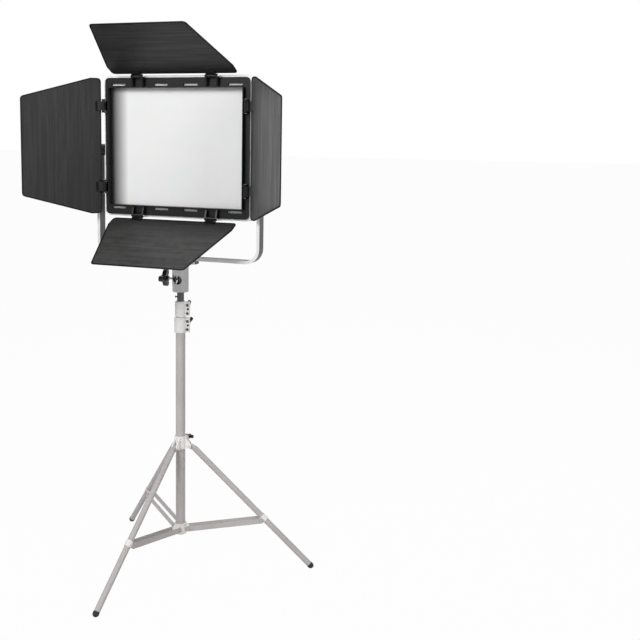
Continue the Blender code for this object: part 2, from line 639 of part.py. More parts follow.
def make_clamp(name, carrier, outer_tube_r, inner_tube_r, bottom, knob_angle):
    """Clamp on top of one tube, round the next: body with a split lug, two screws and a T knob behind."""
    body_r = outer_tube_r + CLEAR + CLAMP_WALL
    facing = Matrix.Rotation(CLAMP_FACING, 4, "Z")
    middle = CLAMP_HEIGHT / 2
    body = rod(body_r, (0, 0, 0), (0, 0, CLAMP_HEIGHT), ROUND, edge=CLAMP_EDGE)
    lug = extruded(rounded([(0.004, -LUG_HALF_T), (LUG_REACH, -LUG_HALF_T), (LUG_REACH, LUG_HALF_T),
                            (0.004, LUG_HALF_T)], 0.003), middle - LUG_HEIGHT / 2, middle + LUG_HEIGHT / 2)
    fuse(body, lug)
    wide, narrow, step = outer_tube_r + CLEAR, inner_tube_r + RUN, CLAMP_HEIGHT - CLAMP_LIP + CLEAR
    bore = turned([(0, -0.01), (wide, -0.01), (wide, step), (narrow, step), (narrow, CLAMP_HEIGHT + 0.01),
                   (0, CLAMP_HEIGHT + 0.01)])
    split = box((0.002, -LUG_SPLIT / 2, -0.01), (LUG_REACH + 0.01, LUG_SPLIT / 2, CLAMP_HEIGHT + 0.01))
    bolt = rod(KNOB_BOLT_R + RUN, (CLAMP_BOLT_OUT, -0.02, middle), (CLAMP_BOLT_OUT, 0.02, middle), PIN)
    rises = (middle + SCREW_RISE, middle - SCREW_RISE)
    holes = [rod(SCREW_R + CLEAR, (SCREW_OUT, -0.02, z), (SCREW_OUT, -LUG_SPLIT, z), PIN) for z in rises]
    cut(body, bore, split, bolt, *holes)
    clamp_frame = frame(name + "_frame", carrier, (0, 0, bottom), facing)
    piece(name, body, clamp_frame, "white_cast")
    for label, z in zip(("top", "bottom"), rises):
        head = rod(SCREW_HEAD_R, (SCREW_OUT, -LUG_HALF_T - SCREW_HEAD_H, z),
                   (SCREW_OUT, -LUG_HALF_T - CLEAR, z), SMALL, edge=0.0006)
        shank = rod(SCREW_R, (SCREW_OUT, -LUG_HALF_T - 0.001, z), (SCREW_OUT, -LUG_SPLIT - 0.001, z), PIN)
        piece(f"{name}_screw_{label}", fuse(head, shank), clamp_frame, "dark_steel")
    knob_turn = along((0, 0, 0), (0, 1, 0)) @ Matrix.Rotation(knob_angle, 4, "Z")
    knob_frame = frame(name + "_knob_frame", clamp_frame, (CLAMP_BOLT_OUT, LUG_HALF_T, middle), knob_turn)
    knob = knob_bar(KNOB_BAR_HALF, KNOB_STANDOFF, 2 * LUG_HALF_T - 0.002)
    piece(name + "_knob", knob, knob_frame, "black_plastic")


def make_column(stand):
    """Clamps and telescoping tubes above the base tube, up to the spigot."""
    make_clamp("lower_clamp", stand, BASE_TUBE_R, MID_TUBE_R, LOWER_CLAMP_BOTTOM, LOWER_KNOB_TURN)
    middle = frame("mid_frame", stand)
    piece("mid_tube", tube_with_mouth(MID_TUBE_R, MID_TUBE_BOTTOM, MID_TUBE_TOP), middle, "stand_paint")
    make_clamp("upper_clamp", middle, MID_TUBE_R, TOP_TUBE_R, UPPER_CLAMP_BOTTOM, UPPER_KNOB_TURN)
    top = frame("top_frame", middle)
    piece("top_tube", tube_with_mouth(TOP_TUBE_R, TOP_TUBE_BOTTOM, TOP_TUBE_TOP), top, "stand_paint")
    return top


def make_spigot(top):
    """Steel stud plugged into the top tube, with a waist and its retaining pin."""
    seat = TOP_TUBE_TOP + CLEAR
    tip = RECEIVER_BOTTOM + SPIGOT_ENGAGED
    plug = TOP_TUBE_R - TUBE_WALL - CLEAR
    waist = RECEIVER_BOTTOM + CROSS_BORE_RISE
    profile = [(0, seat - SPIGOT_PLUG), (plug, seat - SPIGOT_PLUG), (plug, seat), (SPIGOT_R, seat),
               (SPIGOT_R, waist - 0.009), (SPIGOT_WAIST_R, waist - 0.006), (SPIGOT_WAIST_R, waist + 0.006),
               (SPIGOT_R, waist + 0.009), (SPIGOT_R, tip - 0.001), (SPIGOT_R - 0.001, tip), (0, tip)]
    shape = turned(profile)
    pin_z = seat + 0.010
    out = Vector((-cos(CLAMP_FACING), -sin(CLAMP_FACING), 0))
    lift = Vector((0, 0, pin_z))
    hole = rod(SPIGOT_PIN_R + CLEAR, lift + out * 0.004, lift + out * 0.02, PIN)
    piece("spigot", cut(shape, hole), top, "dark_steel")
    pin = rod(SPIGOT_PIN_R, lift + out * 0.0044, lift + out * (SPIGOT_R + SPIGOT_PIN_OUT), PIN)
    cap = rod(SPIGOT_PIN_R * 1.6, lift + out * (SPIGOT_R + 0.0025), lift + out * (SPIGOT_R + SPIGOT_PIN_OUT), PIN)
    piece("spigot_pin", fuse(pin, cap), top, "dark_steel")


# Receiver and yoke

def make_receiver(yoke):
    """Receiver with its socket and cross bore, and the star knob that locks it on the spigot."""
    body = rod(RECEIVER_R, (0, 0, RECEIVER_BOTTOM), (0, 0, RECEIVER_TOP), ROUND, edge=0.0012)
    socket = rod(SPIGOT_R + RUN, (0, 0, RECEIVER_BOTTOM - 0.01),
                 (0, 0, RECEIVER_BOTTOM + SPIGOT_ENGAGED + RUN), ROUND)
    cross_z = RECEIVER_BOTTOM + CROSS_BORE_RISE
    cross = rod(CROSS_BORE_R, (0, -0.03, cross_z), (0, 0.03, cross_z), LEG_FACETS)
    bolt_hole = rod(RECEIVER_BOLT_R + RUN, (-0.03, 0, cross_z), (0, 0, cross_z), PIN)
    king_hole = rod(KING_BOLT_R + CLEAR, (0, 0, RECEIVER_TOP - KING_BOLT_DEPTH - CLEAR), (0, 0, RECEIVER_TOP + 0.01))
    piece("receiver", cut(body, socket, cross, bolt_hole, king_hole), yoke, "satin_steel")
    star = frame("receiver_knob_frame", yoke, (0, 0, cross_z), along((0, 0, 0), (-1, 0, 0)))
    inside = RECEIVER_KNOB_OUT + CLEAR
    bolt = rod(RECEIVER_BOLT_R, (0, 0, SPIGOT_WAIST_R + CLEAR), (0, 0, RECEIVER_KNOB_OUT + 0.008), PIN)
    piece("receiver_bolt", bolt, star, "satin_steel")
    hub = rod(0.0085, (0, 0, RECEIVER_KNOB_OUT), (0, 0, RECEIVER_KNOB_OUT + RECEIVER_KNOB_T), 18, edge=0.001)
    reach = RECEIVER_KNOB_REACH - RECEIVER_KNOB_LOBE
    low, high = RECEIVER_KNOB_OUT + 0.0006, RECEIVER_KNOB_OUT + RECEIVER_KNOB_T - 0.0012
    lobes = []
    for k in range(3):
        way = radians(120 * k)
        tip = circle((reach * cos(way), reach * sin(way)), RECEIVER_KNOB_LOBE, 14)
        lobes.append(extruded(hull(circle((0, 0), 0.0065, PIN) + tip), low, high))
        low, high = low + 0.00012, high - 0.00012
    neck = rod(0.0058, (0, 0, RECEIVER_KNOB_OUT - 0.005), (0, 0, RECEIVER_KNOB_OUT + 0.003))
    fuse(hub, neck, *lobes)
    hole = rod(RECEIVER_BOLT_R + CLEAR, (0, 0, 0), (0, 0, inside + 0.008), PIN)
    piece("receiver_knob", cut(hub, hole), star, "black_plastic")


def yoke_outline():
    """U outline in the yoke's plane, about the column, with the tilt axis at zero height."""
    inside = YOKE_INSIDE
    outside = inside + YOKE_T
    bottom = BAR_BOTTOM - TILT_HEIGHT
    top = YOKE_DEPTH / 2
    steps = 6
    outline = [(outside, top), (inside, top)]
    inner_r = YOKE_CORNER_R - YOKE_T
    for side in (1, -1):
        turns = [pi / 2 * k / steps for k in range(steps + 1)]
        if side < 0:
            turns = turns[::-1]
        outline += [(side * (inside - inner_r + inner_r * cos(t)), bottom + YOKE_CORNER_R - inner_r * sin(t))
                    for t in turns]
    outline += [(-inside, top), (-outside, top)]
    for side in (-1, 1):
        turns = [pi / 2 * k / steps for k in range(steps + 1)]
        if side > 0:
            turns = turns[::-1]
        outline += [(side * (outside - YOKE_CORNER_R + YOKE_CORNER_R * cos(t)),
                     bottom + YOKE_CORNER_R - YOKE_CORNER_R * sin(t)) for t in turns]
    return outline


def make_yoke(yoke):
    """U yoke of bent flat bar, the block under it and the king bolt down into the receiver."""
    plane = frame("yoke_frame", yoke, (0, -YOKE_FORWARD, TILT_HEIGHT))
    strap = upright(yoke_outline(), -YOKE_DEPTH / 2, YOKE_DEPTH / 2)
    shape = bmesh.new()
    shape.from_mesh(strap.data)
    top = YOKE_DEPTH / 2
    ends = [e for e in shape.edges if all(abs(v.co.z - top) < 1e-6 for v in e.verts)
            and abs(e.verts[0].co.y - e.verts[1].co.y) < 1e-6]
    bmesh.ops.bevel(shape, geom=ends, offset=YOKE_DEPTH / 2 - 0.0005, segments=5, profile=0.5, affect="EDGES")
    shape.to_mesh(strap.data)
    shape.free()
    holes = [rod(TILT_BOLT_R + RUN, (side * (YOKE_INSIDE - 0.01), 0, 0), (side * (YOKE_INSIDE + 0.02), 0, 0), PIN)
             for side in (1, -1)]
    king = rod(KING_BOLT_R + CLEAR, (0, YOKE_FORWARD, BAR_BOTTOM - TILT_HEIGHT - 0.01),
               (0, YOKE_FORWARD, BAR_TOP - TILT_HEIGHT + 0.01))
    piece("yoke", cut(strap, king, *holes), plane, "satin_steel")
    block = extruded(rectangle(BLOCK_LENGTH, YOKE_DEPTH, 0.003), BLOCK_BOTTOM, BLOCK_BOTTOM + BLOCK_HEIGHT)
    block.data.transform(Matrix.Translation((0, -YOKE_FORWARD / 2, 0)))
    hole = rod(KING_BOLT_R + CLEAR, (0, 0, BLOCK_BOTTOM - 0.01), (0, 0, BLOCK_BOTTOM + 0.03))
    piece("yoke_block", cut(block, hole), yoke, "satin_steel")
    foot = RECEIVER_TOP - KING_BOLT_DEPTH
    head = BAR_TOP + CLEAR
    profile = [(0, foot), (KING_BOLT_R, foot), (KING_BOLT_R, head), (KING_HEAD_R, head),
               (KING_HEAD_R, head + KING_HEAD_H - 0.001), (KING_HEAD_R - 0.001, head + KING_HEAD_H),
               (0, head + KING_HEAD_H)]
    piece("king_bolt", turned(profile, LEG_FACETS), yoke, "dark_steel")


def make_tilt(head, side, label):
    """Spacer on the housing's side, and the tilt knob whose bolt passes the yoke's arm into it."""
    carrier = frame(f"tilt_knob_{label}_frame", head, (0, 0, 0), along((0, 0, 0), (side, 0, 0)))
    start = HOUSING_W / 2 + CLEAR
    end = YOKE_INSIDE - CLEAR
    spacer = rod(TILT_SPACER_R, (0, 0, start), (0, 0, end), LEG_FACETS, edge=0.0008)
    hole = rod(TILT_BOLT_R + RUN, (0, 0, end - TILT_BOLT_GRIP - CLEAR), (0, 0, end + 0.01), PIN)
    piece(f"tilt_spacer_{label}", cut(spacer, hole), carrier, "black_plastic")
    outside = YOKE_INSIDE + YOKE_T + CLEAR
    foot = outside + 0.004
    knob = rod(TILT_KNOB_R - 0.004, (0, 0, foot), (0, 0, foot + TILT_KNOB_T), LEG_FACETS, edge=0.0012)
    neck = rod(0.009, (0, 0, outside), (0, 0, outside + 0.006))
    bolt = rod(TILT_BOLT_R, (0, 0, end - TILT_BOLT_GRIP), (0, 0, outside + 0.006), PIN)
    grips = []
    for k in range(6):
        way = radians(60 * k)
        middle = ((TILT_KNOB_R - 0.006) * cos(way), (TILT_KNOB_R - 0.006) * sin(way))
        grips.append(extruded(circle(middle, 0.005, 10), outside + 0.0052, outside + 0.0028 + TILT_KNOB_T))
    piece(f"tilt_knob_{label}", fuse(knob, neck, bolt, *grips), carrier, "black_plastic")


# Head

def make_housing(middle):
    """Open-fronted tray with its vents and the holes for what the back carries."""
    shell = upright(rectangle(HOUSING_W, HOUSING_H, HOUSING_CORNER, 5), -HOUSING_FRONT, HOUSING_BACK)
    shape = bmesh.new()
    shape.from_mesh(shell.data)
    rim = [e for e in shape.edges if all(abs(v.co.y - HOUSING_BACK) < 1e-6 for v in e.verts)]
    bmesh.ops.bevel(shape, geom=rim, offset=HOUSING_BEVEL, segments=2, profile=0.5, affect="EDGES")
    shape.to_mesh(shell.data)
    shape.free()
    wall = 2 * HOUSING_WALL
    inside = rectangle(HOUSING_W - wall, HOUSING_H - wall, HOUSING_CORNER - HOUSING_WALL, 5)
    cavity = upright(inside, -HOUSING_FRONT - 0.01, REAR_INSIDE - HOUSING_BEVEL + HOUSING_WALL)
    cut(shell, cavity)
    vents = []
    for side in (-1, 1):
        for k in range(VENT_COUNT):
            z = VENT_RISE + (k - (VENT_COUNT - 1) / 2) * VENT_PITCH
            vents.append(box((side * VENT_OUT - VENT_W / 2, HOUSING_BACK - 0.02, z - VENT_H / 2),
                             (side * VENT_OUT + VENT_W / 2, HOUSING_BACK + 0.01, z + VENT_H / 2)))
    openings = [rear_opening(DISPLAY_W, DISPLAY_H, (0, PANEL_RISE)),
                rear_opening(SWITCH_W, SWITCH_H, SWITCH_PLACE), rear_opening(INLET_W, INLET_H, INLET_PLACE)]
    shafts = [rod(DIAL_SHAFT_R + RUN, (side * DIAL_OUT, HOUSING_BACK - 0.02, PANEL_RISE),
                  (side * DIAL_OUT, HOUSING_BACK + 0.01, PANEL_RISE), PIN) for side in (-1, 1)]
    piece("housing", cut(shell, *vents, *openings, *shafts), middle, "silver_shell")


def rear_opening(width, height, place):
    """Cutter for a rectangular opening in the back, one fit larger than what seats in it."""
    half_w, half_h = width / 2 + CLEAR, height / 2 + CLEAR
    return box((place[0] - half_w, HOUSING_BACK - 0.02, place[1] - half_h),
               (place[0] + half_w, HOUSING_BACK + 0.01, place[1] + half_h))


def make_front(middle):
    """Bezel round the opening and the diffuser behind it."""
    bezel = upright(rectangle(HOUSING_W, HOUSING_H, HOUSING_CORNER, 5), -BEZEL_FRONT, BEZEL_T - BEZEL_FRONT)
    lip = 2 * BEZEL_LIP
    window = upright(rectangle(OPENING_W + lip, OPENING_H + lip, 0.003, 3), -0.05, 0.05)
    piece("front_bezel", cut(bezel, window), middle, "silver_shell")
    lap = 2 * (BEZEL_LIP + DIFFUSER_LAP)
    front = -HOUSING_FRONT
    sheet = upright(rectangle(OPENING_W + lap, OPENING_H + lap, 0.003, 3), front, front + DIFFUSER_T)
    piece("diffuser", sheet, middle, "diffuser")


def led_board():
    """Board with a raised package for each LED, as one stepped surface."""
    shape = bmesh.new()
    stops_x = grid_stops(LED_COLUMNS)
    stops_z = grid_stops(LED_ROWS)
    face_y = BOARD_BACK - BOARD_T
    verts = [[shape.verts.new((x, face_y, z)) for x in stops_x] for z in stops_z]
    cells = {}
    for j in range(len(stops_z) - 1):
        for i in range(len(stops_x) - 1):
            cells[i, j] = shape.faces.new((verts[j][i], verts[j][i + 1], verts[j + 1][i + 1], verts[j + 1][i]))
    packages = [cell for (i, j), cell in cells.items() if i % 2 and j % 2]
    raised = bmesh.ops.extrude_face_region(shape, geom=packages)["geom"]
    bmesh.ops.delete(shape, geom=packages, context="FACES_ONLY")
    tops = [item for item in raised if isinstance(item, bmesh.types.BMVert)]
    bmesh.ops.translate(shape, vec=(0, -LED_HEIGHT, 0), verts=tops)
    rim = [edge for edge in shape.edges if edge.is_boundary]
    sides = bmesh.ops.extrude_edge_only(shape, edges=rim)["geom"]
    back = [item for item in sides if isinstance(item, bmesh.types.BMVert)]
    bmesh.ops.translate(shape, vec=(0, BOARD_T, 0), verts=back)
    bmesh.ops.contextual_create(shape, geom=[e for e in shape.edges if e.is_boundary])
    return solid(shape)


def grid_stops(count):
    """Edges of the board and of each LED package along one direction."""
    margin = LED_PITCH / 2
    stops = [-count * LED_PITCH / 2 + 0.0015]
    for k in range(count):
        middle = -count * LED_PITCH / 2 + margin + k * LED_PITCH
        stops += [middle - LED_SIZE / 2, middle + LED_SIZE / 2]
    return stops + [count * LED_PITCH / 2 - 0.0015]


def make_inside(middle):
    """LED board, heat sink that fills the housing, and the driver on the sink's back."""
    piece("led_board", led_board(), middle, "board")
    gap = 2 * (HOUSING_WALL + CLEAR)
    outline = rectangle(HOUSING_W - gap, HOUSING_H - gap, HOUSING_CORNER - HOUSING_WALL, 5)
    plate = upright(outline, SINK_FRONT, SINK_BACK)
    pitch = FIN_SPAN / (FIN_COUNT - 1)
    low, high = FIN_RISE - FIN_LENGTH / 2, FIN_RISE + FIN_LENGTH / 2
    fins = []
    for k in range(FIN_COUNT):
        x = -FIN_SPAN / 2 + k * pitch
        fins.append(box((x - FIN_T / 2, SINK_BACK - 0.001, low), (x + FIN_T / 2, FIN_TIP, high)))
    piece("heat_sink", fuse(plate, *fins), middle, "aluminium")
    width, height = DRIVER_SIZE
    x, z = DRIVER_PLACE
    shape = [(x + u, z + w) for u, w in rectangle(width, height, 0.002, 2)]
    driver = upright(shape, SINK_BACK + CLEAR, DRIVER_BACK)
    piece("driver_box", driver, middle, "aluminium")


def flanged(width, height, depth, place, flange_t):
    """Block seated in a rear opening, with a flange outside the wall."""
    back = HOUSING_BACK + CLEAR
    plug = upright([(place[0] + u, place[1] + w) for u, w in rectangle(width, height, 0.001, 2)],
                   back - depth, back + flange_t / 2)
    lap = 2 * FLANGE_LAP
    flange = upright([(place[0] + u, place[1] + w) for u, w in rectangle(width + lap, height + lap, 0.002, 3)],
                     back, back + flange_t)
    return fuse(plug, flange)


def make_controls(middle):
    """Display, two dials, power switch with its rocker, and the power inlet, all on the back."""
    piece("display", flanged(DISPLAY_W, DISPLAY_H, DISPLAY_T, (0, PANEL_RISE), FLANGE_T), middle, "glass_black")
    for label, side in (("brightness", -1), ("colour", 1)):
        carrier = frame(f"dial_{label}_frame", middle, (side * DIAL_OUT, HOUSING_BACK, PANEL_RISE),
                        along((0, 0, 0), (0, 1, 0)))
        dial = rod(DIAL_R, (0, 0, 0.0006), (0, 0, DIAL_LENGTH), LEG_FACETS, edge=0.001)
        shaft = rod(DIAL_SHAFT_R, (0, 0, -DIAL_SHAFT_IN), (0, 0, 0.002), PIN)
        piece(f"dial_{label}", fuse(dial, shaft), carrier, "black_plastic")
    switch = flanged(SWITCH_W, SWITCH_H, SWITCH_DEPTH, SWITCH_PLACE, FLANGE_T)
    x, z = SWITCH_PLACE
    half_w = SWITCH_W / 2 - SWITCH_WALL
    half_h = SWITCH_H / 2 - SWITCH_WALL
    floor = HOUSING_BACK - SWITCH_DEPTH + SWITCH_WALL
    well = box((x - half_w, floor, z - half_h), (x + half_w, HOUSING_BACK + 0.01, z + half_h))
    piece("power_switch", cut(switch, well), middle, "black_plastic")
    pivot = HOUSING_BACK - ROCKER_T / 2
    rocker = frame("power_rocker_frame", middle, (x, pivot, z), Matrix.Rotation(-ROCKER_THROW, 4, "X"))
    wide = half_w - CLEAR
    tall = half_h - 0.0007
    key = box((-wide, -ROCKER_T / 2, -tall), (wide, ROCKER_T / 2 + 0.001, tall))
    piece("power_rocker", key, rocker, "black_plastic")
    inlet = flanged(INLET_W, INLET_H, INLET_DEPTH, INLET_PLACE, FLANGE_T)
    x, z = INLET_PLACE
    deep = HOUSING_BACK - INLET_POCKET
    pocket = box((x - 0.011, deep, z - 0.0075), (x + 0.011, HOUSING_BACK + 0.01, z + 0.0075))
    blades = [box((x + k * 0.007 - 0.001, deep - 0.001, z - 0.002), (x + k * 0.007 + 0.001, deep + 0.008, z + 0.002))
              for k in (-1, 0, 1)]
    piece("power_inlet", fuse(cut(inlet, pocket), *blades), middle, "black_plastic")


# Barndoors

def door_sides():
    """Each door's name, hinge frame, open angle, layer and sheet sizes, about the middle of the head."""
    half_w, half_h = FRAME_W / 2, FRAME_H / 2
    out = -FRAME_FRONT
    rows = []
    for name, inward, edge, angle, layer, sizes in (
            ("top", (0, 0, -1), half_h, TOP_OPEN, TOP_LAYER, END_DOOR),
            ("bottom", (0, 0, 1), half_h, BOTTOM_OPEN, BOTTOM_LAYER, END_DOOR),
            ("left", (1, 0, 0), half_w, SIDE_OPEN, LEFT_LAYER, SIDE_DOOR),
            ("right", (-1, 0, 0), half_w, SIDE_OPEN, RIGHT_LAYER, SIDE_DOOR)):
        away, ahead = sizes["edge"]
        axis_out = away - layer * sin(angle)
        axis_ahead = ahead - layer * cos(angle)
        closed = Vector(inward)
        normal = Vector((0, -1, 0))
        hinge = closed.cross(normal)
        origin = closed * -(edge + axis_out) + Vector((0, out - axis_ahead, 0))
        turn_matrix = Matrix((hinge, closed, normal)).transposed().to_4x4()
        rows.append((name, origin, turn_matrix, angle, layer, sizes, axis_out, axis_ahead))
    return rows


def door_solid(layer, sizes):
    """Sheet with its two hinge blocks, barrels and pins; +X along the hinge, +Y towards the tip."""
    half, tip = sizes["half"], sizes["tip"]
    outline = rounded([(-half, DOOR_START), (half, DOOR_START), (half, sizes["straight"]), (tip, sizes["length"]),
                       (-tip, sizes["length"]), (-half, sizes["straight"])], DOOR_CORNER)
    sheet = extruded(outline, layer, layer + DOOR_T)
    tools = []
    for side in (-1, 1):
        middle = side * HINGE_OUT
        reach = HINGE_BARREL_HALF
        tools.append(box((middle - reach + 0.0002, -0.002, 0.0), (middle + reach - 0.0002, HINGE_BLOCK_LENGTH,
                                                                  layer + DOOR_T / 2)))
        tools.append(rod(HINGE_BARREL_R, (middle - reach, 0, 0), (middle + reach, 0, 0)))
        pin = reach + CLEAR + HINGE_EAR_T
        tools.append(rod(HINGE_PIN_R, (middle - pin, 0, 0), (middle + pin, 0, 0), PIN))
    return fuse(sheet, *tools)


def hinge_ears(axis_out, axis_ahead, bar):
    """Ears of both hinges of one door, in the frame of its hinge axis and closed sheet."""
    face = -axis_ahead
    inner = HINGE_BARREL_HALF + CLEAR
    base = axis_out + bar - LIP_T / 2
    outline = hull(circle((0, 0), HINGE_EAR_R, PIN) + [(base, face - 0.0015), (base, face + HINGE_EAR_RISE),
                                                      (max(axis_out, 0) + 0.001, face - 0.0015)])
    lay = Matrix(((0, 0, 1, 0), (1, 0, 0, 0), (0, 1, 0, 0), (0, 0, 0, 1)))
    ears, holes = [], []
    for side in (-1, 1):
        middle = side * HINGE_OUT
        for hand in (-1, 1):
            low, high = sorted((middle + hand * inner, middle + hand * (inner + HINGE_EAR_T)))
            ears.append(extruded(outline, low, high, lay))
            holes.append(rod(HINGE_PIN_R + RUN, (low - 0.001, 0, 0), (high + 0.001, 0, 0), PIN))
    return ears, holes


def make_barndoors(middle):
    """Black frame on the bezel with its slots and hinge ears, and the four doors."""
    plate = upright(rectangle(FRAME_W, FRAME_H, FRAME_CORNER, 4), -FRAME_FRONT, -FRAME_BACK)
    window = upright(rectangle(OPENING_W, OPENING_H, 0.002, 2), -0.05, 0.05)
    slots = []
    for level in (OPENING_H / 2 + SLOT_RISE, -OPENING_H / 2 - SLOT_RISE):
        for place in SLOT_PLACES:
            for side in (-1, 1):
                outline = rectangle(SLOT_W, SLOT_H, SLOT_H / 2 - 0.0002, 2)
                slots.append(upright([(side * place + u, level + w) for u, w in outline], -0.05, 0.05))
    lip = upright(rectangle(OPENING_W + 2 * LIP_T, OPENING_H + 2 * LIP_T, 0.003, 2), -FRAME_FRONT - LIP_HEIGHT,
                  -FRAME_FRONT + FRAME_T / 2)
    fuse(plate, lip)
    cut(plate, window, *slots)
    all_ears, all_holes = [], []
    for name, origin, turn_matrix, angle, layer, sizes, axis_out, axis_ahead in door_sides():
        ears, holes = hinge_ears(axis_out, axis_ahead, sizes["bar"])
        place = Matrix.Translation(origin) @ turn_matrix
        for shape in ears + holes:
            shape.data.transform(place)
        all_ears += ears
        all_holes += holes
        carrier = frame(f"door_{name}_frame", middle, origin, turn_matrix @ Matrix.Rotation(angle, 4, "X"))
        piece(f"door_{name}", door_solid(layer, sizes), carrier, "door_grey")
    fuse(plate, *all_ears)
    piece("barndoor_frame", cut(plate, *all_holes), middle, "black_metal")


def main():
    """Build the stand from the floor up, then the yoke and the head."""
    clear_scene()
    stand = frame("stand_frame", None, (0, COLUMN_Y, 0))
    make_base(stand)
    collar = make_collar(stand)
    for number, angle in enumerate(LEG_ANGLES, 1):
        make_leg(number, radians(angle), collar)
        make_strut(number, radians(angle), stand)
    top = make_column(stand)
    make_spigot(top)
    yoke = frame("pan_frame", top)
    make_receiver(yoke)
    make_yoke(yoke)
    head = frame("head_frame", yoke, (0, -YOKE_FORWARD, TILT_HEIGHT))
    make_tilt(head, -1, "left")
    make_tilt(head, 1, "right")
    middle = frame("head_middle", head, (0, 0, HEAD_RISE))
    make_housing(middle)
    make_front(middle)
    make_inside(middle)
    make_controls(middle)
    make_barndoors(middle)


main()
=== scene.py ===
"""Looks of an LED panel light with barndoors on a folding stand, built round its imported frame."""
import json
import logging
import math
from dataclasses import dataclass, field
from enum import Enum
from typing import Sequence

import bmesh
import bpy
from mathutils import Matrix, Vector
from mathutils.geometry import convex_hull_2d


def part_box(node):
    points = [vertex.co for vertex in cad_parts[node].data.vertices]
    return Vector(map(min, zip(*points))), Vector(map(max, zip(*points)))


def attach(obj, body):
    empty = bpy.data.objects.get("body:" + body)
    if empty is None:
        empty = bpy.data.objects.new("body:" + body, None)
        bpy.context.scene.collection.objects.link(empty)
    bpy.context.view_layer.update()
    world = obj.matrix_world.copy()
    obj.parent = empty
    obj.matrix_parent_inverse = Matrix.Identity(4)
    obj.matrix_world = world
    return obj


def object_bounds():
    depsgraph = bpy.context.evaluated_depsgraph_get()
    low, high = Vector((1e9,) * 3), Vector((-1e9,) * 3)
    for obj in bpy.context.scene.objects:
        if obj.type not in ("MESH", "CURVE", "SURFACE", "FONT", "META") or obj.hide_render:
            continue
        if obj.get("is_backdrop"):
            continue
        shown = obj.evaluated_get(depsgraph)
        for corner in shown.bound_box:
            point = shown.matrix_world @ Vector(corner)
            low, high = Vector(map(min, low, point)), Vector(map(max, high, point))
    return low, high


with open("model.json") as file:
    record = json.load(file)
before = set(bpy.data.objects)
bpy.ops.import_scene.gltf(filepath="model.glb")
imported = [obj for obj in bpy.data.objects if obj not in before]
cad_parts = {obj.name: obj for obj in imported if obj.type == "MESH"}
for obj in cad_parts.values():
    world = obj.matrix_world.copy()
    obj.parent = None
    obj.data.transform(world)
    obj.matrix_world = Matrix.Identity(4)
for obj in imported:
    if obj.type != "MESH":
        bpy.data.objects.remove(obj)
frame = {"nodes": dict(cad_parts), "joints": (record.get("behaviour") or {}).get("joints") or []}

LOG = logging.getLogger("panel_light")

Socket = bpy.types.NodeSocket
Colour = tuple[float, float, float, float]


def tint(code: str) -> Colour:
    """Turn a six-digit screen colour into a linear one.

    Args:
        code: Hexadecimal colour, such as "3a3a3a".

    Returns:
        Red, green, blue and alpha, linear.
    """
    parts = [int(code[k:k + 2], 16) / 255 for k in (0, 2, 4)]
    linear = [p / 12.92 if p <= 0.04045 else ((p + 0.055) / 1.055) ** 2.4 for p in parts]
    return (linear[0], linear[1], linear[2], 1.0)


class Direction(Enum):
    """Way in which a brushed or drawn finish runs."""

    ACROSS = (0.04, 1.0, 1.0)
    UPRIGHT = (1.0, 1.0, 0.04)


# Shader graphs

